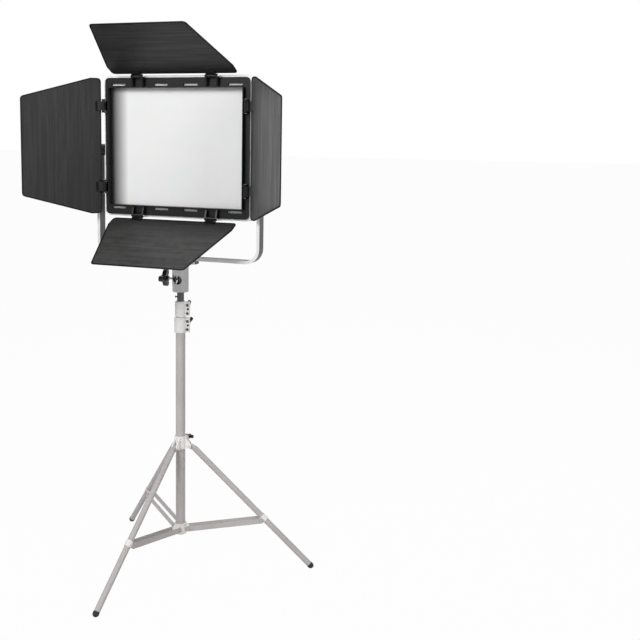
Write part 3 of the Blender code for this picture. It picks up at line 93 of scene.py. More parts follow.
@dataclass
class Graph:
    """Short way to place shader nodes in one tree and to join them."""

    tree: bpy.types.NodeTree

    def add(self, kind: str, **settings: object) -> bpy.types.Node:
        """Place a node.

        Args:
            kind: Blender's name of the node type.
            **settings: Properties to set on it.

        Returns:
            The new node.
        """
        node = self.tree.nodes.new(kind)
        for name, value in settings.items():
            setattr(node, name, value)
        return node

    def feed(self, socket: Socket, value: object) -> None:
        """Link a socket to another, or set its plain value."""
        if isinstance(value, bpy.types.NodeSocket):
            self.tree.links.new(value, socket)
        else:
            socket.default_value = value

    def place(self) -> Socket:
        """Object coordinates, which stay with the piece as it moves."""
        return self.add("ShaderNodeTexCoord").outputs["Object"]

    def sum(self, operation: str, first: object, second: object = 0.0) -> Socket:
        """Work out one number from two.

        Args:
            operation: Name of the Math node's operation.
            first: Socket or number.
            second: Socket or number.

        Returns:
            The result.
        """
        node = self.add("ShaderNodeMath", operation=operation)
        self.feed(node.inputs[0], first)
        self.feed(node.inputs[1], second)
        return node.outputs[0]

    def vectors(self, operation: str, first: object, second: object) -> bpy.types.Node:
        """Combine two vectors.

        Args:
            operation: Name of the Vector Math node's operation.
            first: Socket or three numbers.
            second: Socket or three numbers.

        Returns:
            The node, whose outputs are Vector and Value.
        """
        node = self.add("ShaderNodeVectorMath", operation=operation)
        self.feed(node.inputs[0], first)
        self.feed(node.inputs[1], second)
        return node

    def noise(self, where: Socket, scale: object, detail: float = 3.0, roughness: float = 0.5) -> Socket:
        """Noise value at a place.

        Args:
            where: Coordinates.
            scale: Size of the pattern, as a socket or number.
            detail: Octaves of finer noise.
            roughness: Weight of the finer noise.

        Returns:
            Value near 0.5, between 0 and 1.
        """
        node = self.add("ShaderNodeTexNoise")
        self.feed(node.inputs["Vector"], where)
        self.feed(node.inputs["Scale"], scale)
        node.inputs["Detail"].default_value = detail
        node.inputs["Roughness"].default_value = roughness
        return node.outputs["Fac"]

    def span(self, value: Socket, low: object, high: object, start: object = 0.0, end: object = 1.0,
             smooth: bool = False) -> Socket:
        """Map a value from one range to another, and hold it inside.

        Args:
            value: Value to map.
            low: Value that becomes start.
            high: Value that becomes end.
            start: Result at low.
            end: Result at high.
            smooth: Ease both ends.

        Returns:
            The mapped value.
        """
        node = self.add("ShaderNodeMapRange", clamp=True)
        if smooth:
            node.interpolation_type = "SMOOTHSTEP"
        for name, number in (("Value", value), ("From Min", low), ("From Max", high), ("To Min", start),
                             ("To Max", end)):
            self.feed(node.inputs[name], number)
        return node.outputs["Result"]

    def mix(self, share: object, first: object, second: object) -> Socket:
        """Blend two colours.

        Args:
            share: Weight of the second colour.
            first: Colour or socket.
            second: Colour or socket.

        Returns:
            The blended colour.
        """
        node = self.add("ShaderNodeMix", data_type="RGBA")
        self.feed(node.inputs["Factor"], share)
        self.feed(node.inputs["A"] if node.inputs["A"].type == "RGBA" else node.inputs[6], first)
        self.feed(node.inputs["B"] if node.inputs["B"].type == "RGBA" else node.inputs[7], second)
        return node.outputs[2]

    def bump(self, height: Socket, strength: float, distance: float) -> Socket:
        """Normal that a height gives.

        Args:
            height: Height over the surface.
            strength: Share of the effect.
            distance: Depth of the relief in metres.

        Returns:
            The bent normal.
        """
        node = self.add("ShaderNodeBump")
        node.inputs["Strength"].default_value = strength
        node.inputs["Distance"].default_value = distance
        self.feed(node.inputs["Height"], height)
        return node.outputs["Normal"]

    def group(self, shared: bpy.types.NodeTree, **values: object) -> bpy.types.Node:
        """Place a shared group with its own values.

        Args:
            shared: Node group.
            **values: Values of its inputs, by name.

        Returns:
            The group's node.
        """
        node = self.add("ShaderNodeGroup", node_tree=shared)
        for name, value in values.items():
            self.feed(node.inputs[name], value)
        return node


@dataclass
class Effects:
    """Node groups that several finishes share."""

    grain: bpy.types.NodeTree = field(init=False)
    hairline: bpy.types.NodeTree = field(init=False)
    scuffs: bpy.types.NodeTree = field(init=False)
    dust: bpy.types.NodeTree = field(init=False)
    hinges: bpy.types.NodeTree = field(init=False)

    def __post_init__(self) -> None:
        """Make each group once."""
        self.grain = self.make_grain()
        self.hairline = self.make_hairline()
        self.scuffs = self.make_scuffs()
        self.dust = self.make_dust()
        self.hinges = self.make_hinges()

    def start(self, name: str, inputs: Sequence[tuple[str, str, object]],
              outputs: Sequence[tuple[str, str]]) -> tuple[Graph, bpy.types.Node, bpy.types.Node]:
        """Open an empty group.

        Args:
            name: Name of the group.
            inputs: Name, socket type and default of each input.
            outputs: Name and socket type of each output.

        Returns:
            Its graph, its input node and its output node.
        """
        tree = bpy.data.node_groups.new(name, "ShaderNodeTree")
        for label, kind, value in inputs:
            socket = tree.interface.new_socket(name=label, in_out="INPUT", socket_type=kind)
            socket.default_value = value
        for label, kind in outputs:
            tree.interface.new_socket(name=label, in_out="OUTPUT", socket_type=kind)
        graph = Graph(tree)
        return graph, graph.add("NodeGroupInput"), graph.add("NodeGroupOutput")

    def make_grain(self) -> bpy.types.NodeTree:
        """Even fine grain with a broad mottle.

        Returns:
            Group with a Scale input and Height and Mottle outputs.
        """
        graph, given, made = self.start("surface_grain", [("Scale", "NodeSocketFloat", 900.0)],
                                        [("Height", "NodeSocketFloat"), ("Mottle", "NodeSocketFloat")])
        where = graph.place()
        graph.feed(made.inputs["Height"], graph.noise(where, given.outputs["Scale"], 4.0, 0.6))
        graph.feed(made.inputs["Mottle"], graph.noise(where, 14.0, 3.0))
        return graph.tree

    def make_hairline(self) -> bpy.types.NodeTree:
        """Fine drawn lines along one direction, with broad soft bands.

        Returns:
            Group with Stretch and Scale inputs and Streak and Band outputs.
        """
        graph, given, made = self.start(
            "hairline", [("Stretch", "NodeSocketVector", Direction.UPRIGHT.value),
                         ("Scale", "NodeSocketFloat", 1200.0)],
            [("Streak", "NodeSocketFloat"), ("Band", "NodeSocketFloat")])
        where = graph.vectors("MULTIPLY", graph.place(), given.outputs["Stretch"]).outputs["Vector"]
        graph.feed(made.inputs["Streak"], graph.noise(where, given.outputs["Scale"], 2.0, 0.6))
        graph.feed(made.inputs["Band"], graph.noise(where, 170.0, 2.0, 0.5))
        return graph.tree

    def make_scuffs(self) -> bpy.types.NodeTree:
        """Sparse rubbed marks.

        Returns:
            Group with an Amount input and a Mask output.
        """
        graph, given, made = self.start("scuffs", [("Amount", "NodeSocketFloat", 0.3)],
                                        [("Mask", "NodeSocketFloat")])
        where = graph.place()
        marks = graph.noise(where, 160.0, 6.0, 0.7)
        patches = graph.span(graph.noise(where, 22.0, 2.0), 0.5, 0.62)
        shown = graph.sum("MULTIPLY", graph.span(marks, 0.62, 0.72), patches)
        graph.feed(made.inputs["Mask"], graph.sum("MULTIPLY", shown, given.outputs["Amount"]))
        return graph.tree

    def make_dust(self) -> bpy.types.NodeTree:
        """Fine dust that lies on what faces up.

        Returns:
            Group with an Amount input and a Mask output.
        """
        graph, given, made = self.start("settled_dust", [("Amount", "NodeSocketFloat", 0.2)],
                                        [("Mask", "NodeSocketFloat")])
        parts = graph.add("ShaderNodeSeparateXYZ")
        graph.feed(parts.inputs[0], graph.add("ShaderNodeNewGeometry").outputs["Normal"])
        facing = graph.span(parts.outputs["Z"], 0.55, 1.0)
        cloud = graph.span(graph.noise(graph.place(), 55.0, 5.0, 0.65), 0.4, 0.7)
        shown = graph.sum("MULTIPLY", facing, cloud)
        graph.feed(made.inputs["Mask"], graph.sum("MULTIPLY", shown, given.outputs["Amount"]))
        return graph.tree

    def make_hinges(self) -> bpy.types.NodeTree:
        """Mask of a door's two hinge blocks, about the door's hinge axis.

        Returns:
            Group with Origin, Axis, Spacing, Half and Reach inputs and a Mask output.
        """
        graph, given, made = self.start(
            "hinge_blocks", [("Origin", "NodeSocketVector", (0.0, 0.0, 0.0)),
                             ("Axis", "NodeSocketVector", (1.0, 0.0, 0.0)),
                             ("Spacing", "NodeSocketFloat", 0.09), ("Half", "NodeSocketFloat", 0.0107),
                             ("Reach", "NodeSocketFloat", 0.0148)], [("Mask", "NodeSocketFloat")])
        from_axis = graph.vectors("SUBTRACT", graph.place(), given.outputs["Origin"]).outputs["Vector"]
        along = graph.vectors("DOT_PRODUCT", from_axis, given.outputs["Axis"]).outputs["Value"]
        off_middle = graph.sum("ABSOLUTE", graph.sum("SUBTRACT", graph.sum("ABSOLUTE", along),
                                                     given.outputs["Spacing"]))
        in_length = graph.sum("LESS_THAN", off_middle, given.outputs["Half"])
        out = graph.vectors("CROSS_PRODUCT", from_axis, given.outputs["Axis"])
        radius = graph.add("ShaderNodeVectorMath", operation="LENGTH")
        graph.feed(radius.inputs[0], out.outputs["Vector"])
        near = graph.sum("LESS_THAN", radius.outputs["Value"], given.outputs["Reach"])
        graph.feed(made.inputs["Mask"], graph.sum("MULTIPLY", in_length, near))
        return graph.tree


# Finishes

@dataclass(frozen=True)
class Finish:
    """Base of every finish: a colour, its roughness and how it is worn."""

    name: str
    colour: str
    shade: str
    roughness: float
    metallic: float = 0.0
    coat: float = 0.0
    specular: float = 0.5
    grain: float = 900.0
    relief: float = 0.00002
    scuff: float = 0.0
    scuff_colour: str = "9a9a9a"
    dust: float = 0.0

    def open(self, label: str) -> tuple[bpy.types.Material, Graph, bpy.types.Node]:
        """Make an empty material.

        Args:
            label: What it is put on.

        Returns:
            The material, its graph and its Principled shader.
        """
        material = bpy.data.materials.new(f"{self.name}_{label}")
        material.use_nodes = True
        graph = Graph(material.node_tree)
        shader = material.node_tree.nodes["Principled BSDF"]
        shader.inputs["Metallic"].default_value = self.metallic
        shader.inputs["Coat Weight"].default_value = self.coat
        shader.inputs["Specular IOR Level"].default_value = self.specular
        shader.inputs["Coat Roughness"].default_value = 0.12
        return material, graph, shader

    def worn(self, graph: Graph, effects: Effects, colour: Socket) -> Socket:
        """Lay scuffs and dust over a colour.

        Args:
            graph: Graph of the material.
            effects: Shared groups.
            colour: Clean colour.

        Returns:
            Worn colour.
        """
        if self.scuff:
            mask = graph.group(effects.scuffs, Amount=self.scuff).outputs["Mask"]
            colour = graph.mix(mask, colour, tint(self.scuff_colour))
        if self.dust:
            mask = graph.group(effects.dust, Amount=self.dust).outputs["Mask"]
            colour = graph.mix(mask, colour, tint("a8a49c"))
        return colour

    def build(self, label: str, effects: Effects) -> bpy.types.Material:
        """Make the material: even grain, mottle and wear.

        Args:
            label: What it is put on.
            effects: Shared groups.

        Returns:
            The material.
        """
        material, graph, shader = self.open(label)
        grain = graph.group(effects.grain, Scale=self.grain)
        share = graph.span(grain.outputs["Mottle"], 0.35, 0.65)
        colour = self.worn(graph, effects, graph.mix(share, tint(self.colour), tint(self.shade)))
        graph.feed(shader.inputs["Base Color"], colour)
        rough = graph.span(grain.outputs["Mottle"], 0.3, 0.7, self.roughness - 0.05, self.roughness + 0.05)
        graph.feed(shader.inputs["Roughness"], rough)
        graph.feed(shader.inputs["Normal"], graph.bump(grain.outputs["Height"], 0.6, self.relief))
        return material


@dataclass(frozen=True)
class Brushed(Finish):
    """Metal with drawn lines along one direction."""

    direction: Direction = Direction.UPRIGHT
    scale: float = 1500.0

    def build(self, label: str, effects: Effects) -> bpy.types.Material:
        """Make the material: lines, bands and wear.

        Args:
            label: What it is put on.
            effects: Shared groups.

        Returns:
            The material.
        """
        material, graph, shader = self.open(label)
        lines = graph.group(effects.hairline, Stretch=self.direction.value, Scale=self.scale)
        share = graph.span(lines.outputs["Streak"], 0.3, 0.7)
        colour = self.worn(graph, effects, graph.mix(share, tint(self.colour), tint(self.shade)))
        graph.feed(shader.inputs["Base Color"], colour)
        rough = graph.span(lines.outputs["Streak"], 0.3, 0.7, self.roughness - 0.06, self.roughness + 0.06)
        graph.feed(shader.inputs["Roughness"], rough)
        graph.feed(shader.inputs["Normal"], graph.bump(lines.outputs["Streak"], 0.5, self.relief))
        return material


@dataclass(frozen=True)
class FlatBar(Brushed):
    """Drawn flat bar: dull on its wide faces, with a painted highlight on its narrow edges, which face along
    Y.
    """

    # Colour of the painted highlight on the edges.
    edge: str = "e4e4e4"

    def build(self, label: str, effects: Effects) -> bpy.types.Material:
        """Make the material: lines on the wide faces and a painted highlight on the edges.

        Args:
            label: What it is put on.
            effects: Shared groups.

        Returns:
            The material.
        """
        material, graph, shader = self.open(label)
        parts = graph.add("ShaderNodeSeparateXYZ")
        graph.feed(parts.inputs[0], graph.add("ShaderNodeTexCoord").outputs["Normal"])
        # Painted highlight: the narrow faces along Y are painted near white and less metallic than the darker
        # wide faces.
        painted_highlight_edge = graph.span(graph.sum("ABSOLUTE", parts.outputs["Y"]), 0.5, 0.8)
        lines = graph.group(effects.hairline, Stretch=self.direction.value, Scale=self.scale)
        share = graph.span(lines.outputs["Streak"], 0.3, 0.7)
        face = self.worn(graph, effects, graph.mix(share, tint(self.colour), tint(self.shade)))
        graph.feed(shader.inputs["Base Color"], graph.mix(painted_highlight_edge, face, tint(self.edge)))
        rough = graph.span(lines.outputs["Streak"], 0.3, 0.7, self.roughness - 0.05, self.roughness + 0.05)
        graph.feed(shader.inputs["Roughness"], rough)
        graph.feed(shader.inputs["Metallic"], graph.span(painted_highlight_edge, 0.0, 1.0, self.metallic, 0.1))
        graph.feed(shader.inputs["Normal"], graph.bump(lines.outputs["Streak"], 0.5, self.relief))
        return material


@dataclass(frozen=True)
class DoorCoat(Finish):
    """Dark coat on a ribbed door sheet, with painted shade that darkens it towards its hinge, and black hinge
    blocks.
    """

    # Black of the hinge blocks, also used as the colour of the painted shade next to the hinge.
    block: str = "131313"
    line_scale: float = 420.0
    band_share: float = 0.55
    painted_shade_reach: float = 0.11
    painted_shade_most: float = 0.45
    direction: Direction = Direction.UPRIGHT
    origin: tuple[float, float, float] = (0.0, 0.0, 0.0)
    axis: tuple[float, float, float] = (1.0, 0.0, 0.0)

    def build(self, label: str, effects: Effects) -> bpy.types.Material:
        """Make the material: fine ribs and bands along the hinge, painted shade next to it, and the hinge
        blocks.

        Args:
            label: What it is put on.
            effects: Shared groups.

        Returns:
            The material.
        """
        material, graph, shader = self.open(label)
        lines = graph.group(effects.hairline, Stretch=self.direction.value, Scale=self.line_scale)
        grain = graph.group(effects.grain, Scale=self.grain)
        band = graph.span(lines.outputs["Band"], 0.38, 0.62, smooth=True)
        streak = graph.span(lines.outputs["Streak"], 0.3, 0.7)
        share = graph.sum("ADD", graph.sum("MULTIPLY", band, self.band_share),
                          graph.sum("MULTIPLY", streak, 1 - self.band_share))
        coat = self.worn(graph, effects, graph.mix(share, tint(self.colour), tint(self.shade)))
        offset = graph.vectors("SUBTRACT", graph.place(), self.origin).outputs["Vector"]
        away = graph.vectors("CROSS_PRODUCT", offset, self.axis).outputs["Vector"]
        reach = graph.add("ShaderNodeVectorMath", operation="LENGTH")
        graph.feed(reach.inputs[0], away)
        # Painted shade: the coat is blended towards black over the first stretch out from the hinge axis.
        painted_hinge_shade = graph.span(reach.outputs["Value"], 0.0, self.painted_shade_reach, self.painted_shade_most, 0.0)
        coat = graph.mix(painted_hinge_shade, coat, tint(self.block))
        blocks = graph.group(effects.hinges, Origin=self.origin, Axis=self.axis).outputs["Mask"]
        graph.feed(shader.inputs["Base Color"], graph.mix(blocks, coat, tint(self.block)))
        rough = graph.span(lines.outputs["Streak"], 0.3, 0.7, self.roughness - 0.07, self.roughness + 0.05)
        graph.feed(shader.inputs["Roughness"], rough)
        fine = graph.sum("MULTIPLY", grain.outputs["Height"], 0.3)
        height = graph.sum("ADD", lines.outputs["Streak"], fine)
        graph.feed(shader.inputs["Normal"], graph.bump(height, 0.7, self.relief))
        return material


@dataclass(frozen=True)
class MilkySheet(Finish):
    """Translucent white diffuser with painted shade: a dark band along its low-X side and thin dark lines
    along its other edges.
    """

    # Colour of the painted shade along the diffuser's edges.
    edge: str = "3f3f3f"
    low: tuple[float, float, float] = (0.0, 0.0, 0.0)
    high: tuple[float, float, float] = (1.0, 1.0, 1.0)
    painted_shade_band: float = 0.040
    painted_shade_power: float = 1.3
    painted_rim_shade_band: float = 0.006
    painted_rim_shade_face_share: float = 0.9

    def build(self, label: str, effects: Effects) -> bpy.types.Material:
        """Make the material: painted shade as a dark band along one side and thin lines along the others, and
        a frosted face.

        Args:
            label: What it is put on.
            effects: Shared groups.

        Returns:
            The material.
        """
        material, graph, shader = self.open(label)
        parts = graph.add("ShaderNodeSeparateXYZ")
        graph.feed(parts.inputs[0], graph.place())
        # Painted shade: a broad dark band from the low-X edge and thin dark lines along the other edges,
        # where the frame's recess casts shade.
        rise = graph.span(parts.outputs["X"], self.low[0], self.low[0] + self.painted_shade_band)
        side = graph.sum("POWER", rise, self.painted_shade_power)
        far = graph.span(parts.outputs["X"], self.high[0], self.high[0] - self.painted_rim_shade_band,
                         self.painted_rim_shade_face_share, smooth=True)
        top = graph.span(parts.outputs["Z"], self.high[2], self.high[2] - self.painted_rim_shade_band,
                         self.painted_rim_shade_face_share, smooth=True)
        foot = graph.span(parts.outputs["Z"], self.low[2], self.low[2] + self.painted_rim_shade_band,
                          self.painted_rim_shade_face_share, smooth=True)
        unshaded_share = graph.sum("MULTIPLY", graph.sum("MULTIPLY", side, far), graph.sum("MULTIPLY", top, foot))
        grain = graph.group(effects.grain, Scale=self.grain)
        face = graph.mix(grain.outputs["Mottle"], tint(self.colour), tint(self.shade))
        graph.feed(shader.inputs["Base Color"], graph.mix(unshaded_share, tint(self.edge), face))
        shader.inputs["Subsurface Weight"].default_value = 0.12
        shader.inputs["Subsurface Scale"].default_value = 0.004
        rough = graph.span(grain.outputs["Height"], 0.3, 0.7, self.roughness - 0.04, self.roughness + 0.04)
        graph.feed(shader.inputs["Roughness"], rough)
        graph.feed(shader.inputs["Normal"], graph.bump(grain.outputs["Height"], 0.4, self.relief))
        return material


@dataclass(frozen=True)
class Lit(Finish):
    """Small lit segment of the display."""

    strength: float = 0.8

    def build(self, label: str, effects: Effects) -> bpy.types.Material:
        """Make the material: a colour that also glows a little.

        Args:
            label: What it is put on.
            effects: Shared groups.

        Returns:
            The material.
        """
        material, graph, shader = self.open(label)
        grain = graph.group(effects.grain, Scale=self.grain)
        colour = graph.mix(grain.outputs["Mottle"], tint(self.colour), tint(self.shade))
        graph.feed(shader.inputs["Base Color"], colour)
        graph.feed(shader.inputs["Emission Color"], colour)
        shader.inputs["Emission Strength"].default_value = self.strength
        shader.inputs["Roughness"].default_value = self.roughness
        return material


STAND_PAINT = Finish("stand_paint", "c0bbbb", "b7b2b2", 0.42, specular=0.4, grain=1400.0, relief=0.000005,
                     scuff=0.2, scuff_colour="9a9695", dust=0.1)
CAST_PAINT = Finish("cast_paint", "f3f1ee", "ebe8e5", 0.5, grain=700.0, relief=0.00005, scuff=0.3,
                    scuff_colour="a5a19c", dust=0.12)
# Yoke finish: dark wide faces with a painted highlight on the narrow edges.
SATIN_BAR = FlatBar("satin_bar", "555555", "484848", 0.4, metallic=0.6, direction=Direction.ACROSS)
SATIN_CAST = Brushed("satin_cast", "a6a6a6", "949494", 0.22, metallic=1.0, direction=Direction.UPRIGHT)
DARK_STEEL = Finish("dark_steel", "5c595a", "4c494a", 0.35, metallic=0.8, grain=1800.0, scuff=0.4)
BRIGHT_STEEL = Finish("bright_steel", "d6d6d6", "c2c2c2", 0.22, metallic=1.0, grain=1800.0)
BLACK_MOULDED = Finish("black_moulded", "0b0b0b", "121212", 0.34, specular=0.4, grain=1100.0,
                       relief=0.00004, scuff=0.25, scuff_colour="3a3a3a", dust=0.1)
BLACK_RUBBER = Finish("black_rubber", "131313", "1a1918", 0.75, grain=800.0, relief=0.00006, scuff=0.3,
                      scuff_colour="35322f", dust=0.25)
SILVER_SHELL = Finish("silver_shell", "f4f4f5", "ececee", 0.42, metallic=0.05, grain=1500.0, scuff=0.12,
                      scuff_colour="b8b8b8", dust=0.1)
BLACK_FRAME = Finish("black_frame", "0c0c0c", "080808", 0.36, specular=0.25, grain=1300.0, relief=0.00003,
                     scuff=0.2, scuff_colour="4a4a4a", dust=0.1)
DOOR_EDGE = Finish("door_edge", "060606", "0a0a0a", 0.5, specular=0.2, grain=1200.0)
BOARD = Finish("board", "f0f0ec", "e6e6e0", 0.5, grain=1500.0)
PLAIN_ALUMINIUM = Brushed("plain_aluminium", "b9babd", "a8a9ac", 0.35, metallic=0.9,
                          direction=Direction.UPRIGHT)
DISPLAY_GLASS = Finish("display_glass", "0c0e11", "101317", 0.12, coat=0.6, grain=400.0, relief=0.000002)
WHITE_MARK = Finish("white_mark", "d9d9d6", "cfcfcc", 0.5, grain=1500.0)
LIT_SEGMENT = Lit("lit_segment", "8fd6e8", "7fc6dc", 0.4, grain=1500.0)
DIM_SEGMENT = Lit("dim_segment", "2a3f46", "253840", 0.4, grain=1500.0, strength=0.15)


# Pieces

def add_piece(name: str, mesh_data: bmesh.types.BMesh, body: str, finish: Finish, effects: Effects,
              flat: bool = False) -> bpy.types.Object:
    """Turn mesh data into a named piece that rides on a body.

    Args:
        name: Name of the piece.
        mesh_data: Its mesh in the row frame; freed here.
        body: Body that it moves with.
        finish: Its finish.
        effects: Shared groups.
        flat: Leave the faces flat.

    Returns:
        The piece.
    """
    bmesh.ops.recalc_face_normals(mesh_data, faces=mesh_data.faces)
    mesh = bpy.data.meshes.new(name)
    mesh_data.to_mesh(mesh)
    mesh_data.free()
    piece = bpy.data.objects.new(name, mesh)
    bpy.context.scene.collection.objects.link(piece)
    if not flat:
        mesh.shade_smooth()
        mesh.set_sharp_from_angle(angle=math.radians(35))
    mesh.materials.append(finish.build(name, effects))
    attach(piece, body)
    LOG.info("made %s on %s", name, body)
    return piece


def dress(node: str, material: bpy.types.Material) -> None:
    """Give a node of the frame its finished material."""
    carried = frame["nodes"][node]
    carried.data.materials.clear()
    carried.data.materials.append(material)
    LOG.info("dressed %s in %s", node, material.name)


def dress_all(nodes: Sequence[str], finish: Finish, effects: Effects) -> None:
    """Give several nodes one finish."""
    material = finish.build(nodes[0], effects)
    for node in nodes:
        dress(node, material)


def toward(place: Vector, direction: Vector) -> Matrix:
    """Matrix that puts the origin at a place and turns +Z to a direction."""
    return Matrix.Translation(place) @ direction.to_track_quat("Z", "Y").to_matrix().to_4x4()


def turn_profile(mesh_data: bmesh.types.BMesh, profile: Sequence[tuple[float, float]], matrix: Matrix,
                 facets: int = 20) -> None:
    """Add the solid of a (radius, height) outline turned about +Z of a matrix.

    Args:
        mesh_data: Mesh to add to.
        profile: Outline from one pole to the other; a radius of 0 is a pole.
        matrix: Where the solid goes.
        facets: Sides round the axis.
    """
    rings = []
    for radius, height in profile:
        count = facets if radius > 0 else 1
        turns = [2 * math.pi * k / facets for k in range(count)]
        points = [Vector((radius * math.cos(t), radius * math.sin(t), height)) for t in turns]
        rings.append([mesh_data.verts.new(matrix @ point) for point in points])
    for ring, after in zip(rings, rings[1:]):
        for k in range(facets):
            m = (k + 1) % facets
            corners = (ring[k % len(ring)], ring[m % len(ring)], after[m % len(after)], after[k % len(after)])
            mesh_data.faces.new(list(dict.fromkeys(corners)))


def add_bar(mesh_data: bmesh.types.BMesh, low: Vector, high: Vector, edge: float) -> None:
    """Add a block between two corners, with bevelled edges.

    Args:
        mesh_data: Mesh to add to.
        low: Lowest corner.
        high: Highest corner.
        edge: Width of the bevel.
    """
    size = high - low
    matrix = Matrix.Translation((low + high) / 2) @ Matrix.Diagonal((*size, 1))
    block = bmesh.ops.create_cube(mesh_data, size=1, matrix=matrix)
    edges = list({side for corner in block["verts"] for side in corner.link_edges})
    bmesh.ops.bevel(mesh_data, geom=edges, offset=edge, segments=2, profile=0.5, affect="EDGES")


@dataclass
class Barndoor:
    """One hinged door: its coat, its black rim and the pins in its hinges."""

    side: str
    direction: Direction
    # Coat colours of this door, set per door as painted light and shade.
    colour: str
    shade: str
    effects: Effects
    rim_width: float = 0.0030
    rim_proud: float = 0.00015
    rim_out: float = 0.0002
    hinge_spacing: float = 0.090
    pin_end: float = 0.01485
    pin_head_r: float = 0.0030
    pin_head_h: float = 0.0011

    @property
    def node(self) -> str:
        """Name of the door's node and of its body."""
        return f"door_{self.side}"

    def hinge(self) -> tuple[Vector, Vector]:
        """Find the hinge.

        Returns:
            A point on its axis and the axis.
        """
        joint = next(j for j in frame["joints"] if j["child"] == self.node)
        return Vector(joint["pos_m"]), Vector(joint["axis"])

    def sheet(self) -> tuple[list[Vector], Vector, float]:
        """Find the flat sheet of the door's mesh.

        Returns:
            Its outline in order, its normal and its thickness.
        """
        mesh_data = bmesh.new()
        mesh_data.from_mesh(frame["nodes"][self.node].data)
        bmesh.ops.remove_doubles(mesh_data, verts=mesh_data.verts, dist=0.000002)
        bmesh.ops.dissolve_limit(mesh_data, angle_limit=math.radians(1), verts=mesh_data.verts,
                                 edges=mesh_data.edges)
        faces = sorted(mesh_data.faces, key=lambda f: f.calc_area(), reverse=True)
        big, other = faces[0], faces[1]
        normal = big.normal.copy()
        points = [corner.co.copy() for corner in big.verts]
        thickness = abs((other.verts[0].co - points[0]).dot(normal))
        across = (points[1] - points[0]).normalized()
        upward = normal.cross(across)
        flat = [Vector(((p - points[0]).dot(across), (p - points[0]).dot(upward))) for p in points]
        outline = [points[k] - normal * thickness / 2 for k in convex_hull_2d(flat)]
        mesh_data.free()
        return outline, normal, thickness

    def make_rim(self) -> None:
        """Black rim round the sheet, as a closed band a little proud of both faces."""
        outline, normal, thickness = self.sheet()
        middle = sum(outline, Vector()) / len(outline)
        count = len(outline)
        half = thickness / 2 + self.rim_proud
        rings = []
        for shift, lift in ((self.rim_out, half), (self.rim_out, -half), (-self.rim_width, -half),
                            (-self.rim_width, half)):
            ring = []
            for k in range(count):
                before = (outline[k] - outline[k - 1]).normalized()
                after = (outline[(k + 1) % count] - outline[k]).normalized()
                out = (before.cross(normal) + after.cross(normal)).normalized()
                if out.dot(outline[k] - middle) < 0:
                    out = -out
                stretch = 1 / max(0.5, abs(out.dot(after.cross(normal))))
                ring.append(outline[k] + out * shift * stretch + normal * lift)
            rings.append(ring)
        mesh_data = bmesh.new()
        corners = [[mesh_data.verts.new(p) for p in ring] for ring in rings]
        for ring, following in zip(corners, corners[1:] + corners[:1]):
            for k in range(count):
                m = (k + 1) % count
                mesh_data.faces.new((ring[k], ring[m], following[m], following[k]))
        add_piece(f"door_rim_{self.side}", mesh_data, self.node, DOOR_EDGE, self.effects)

    def make_pins(self) -> None:
        """Domed steel heads of the two hinge pins, outside the ears."""
        origin, axis = self.hinge()
        mesh_data = bmesh.new()
        height, radius = self.pin_head_h, self.pin_head_r
        profile = [(0, 0), (radius, 0), (radius, 0.4 * height), (0.75 * radius, 0.85 * height), (0, height)]
        for place in (-self.hinge_spacing, self.hinge_spacing):
            for hand in (-1, 1):
                start = origin + axis * (place + hand * self.pin_end)
                turn_profile(mesh_data, profile, toward(start, axis * hand))
        add_piece(f"hinge_pins_{self.side}", mesh_data, self.node, BRIGHT_STEEL, self.effects)

    def build(self) -> None:
        """Dress the door and make what is on it."""
        origin, axis = self.hinge()
        coat = DoorCoat(f"{self.side}_door_coat", self.colour, self.shade, 0.42, specular=0.22, grain=1500.0,
                        relief=0.00003, scuff=0.15, scuff_colour="6a6a6a", dust=0.06,
                        direction=self.direction, origin=tuple(origin), axis=tuple(axis))
        dress(self.node, coat.build(self.side, self.effects))
        self.make_rim()
        self.make_pins()


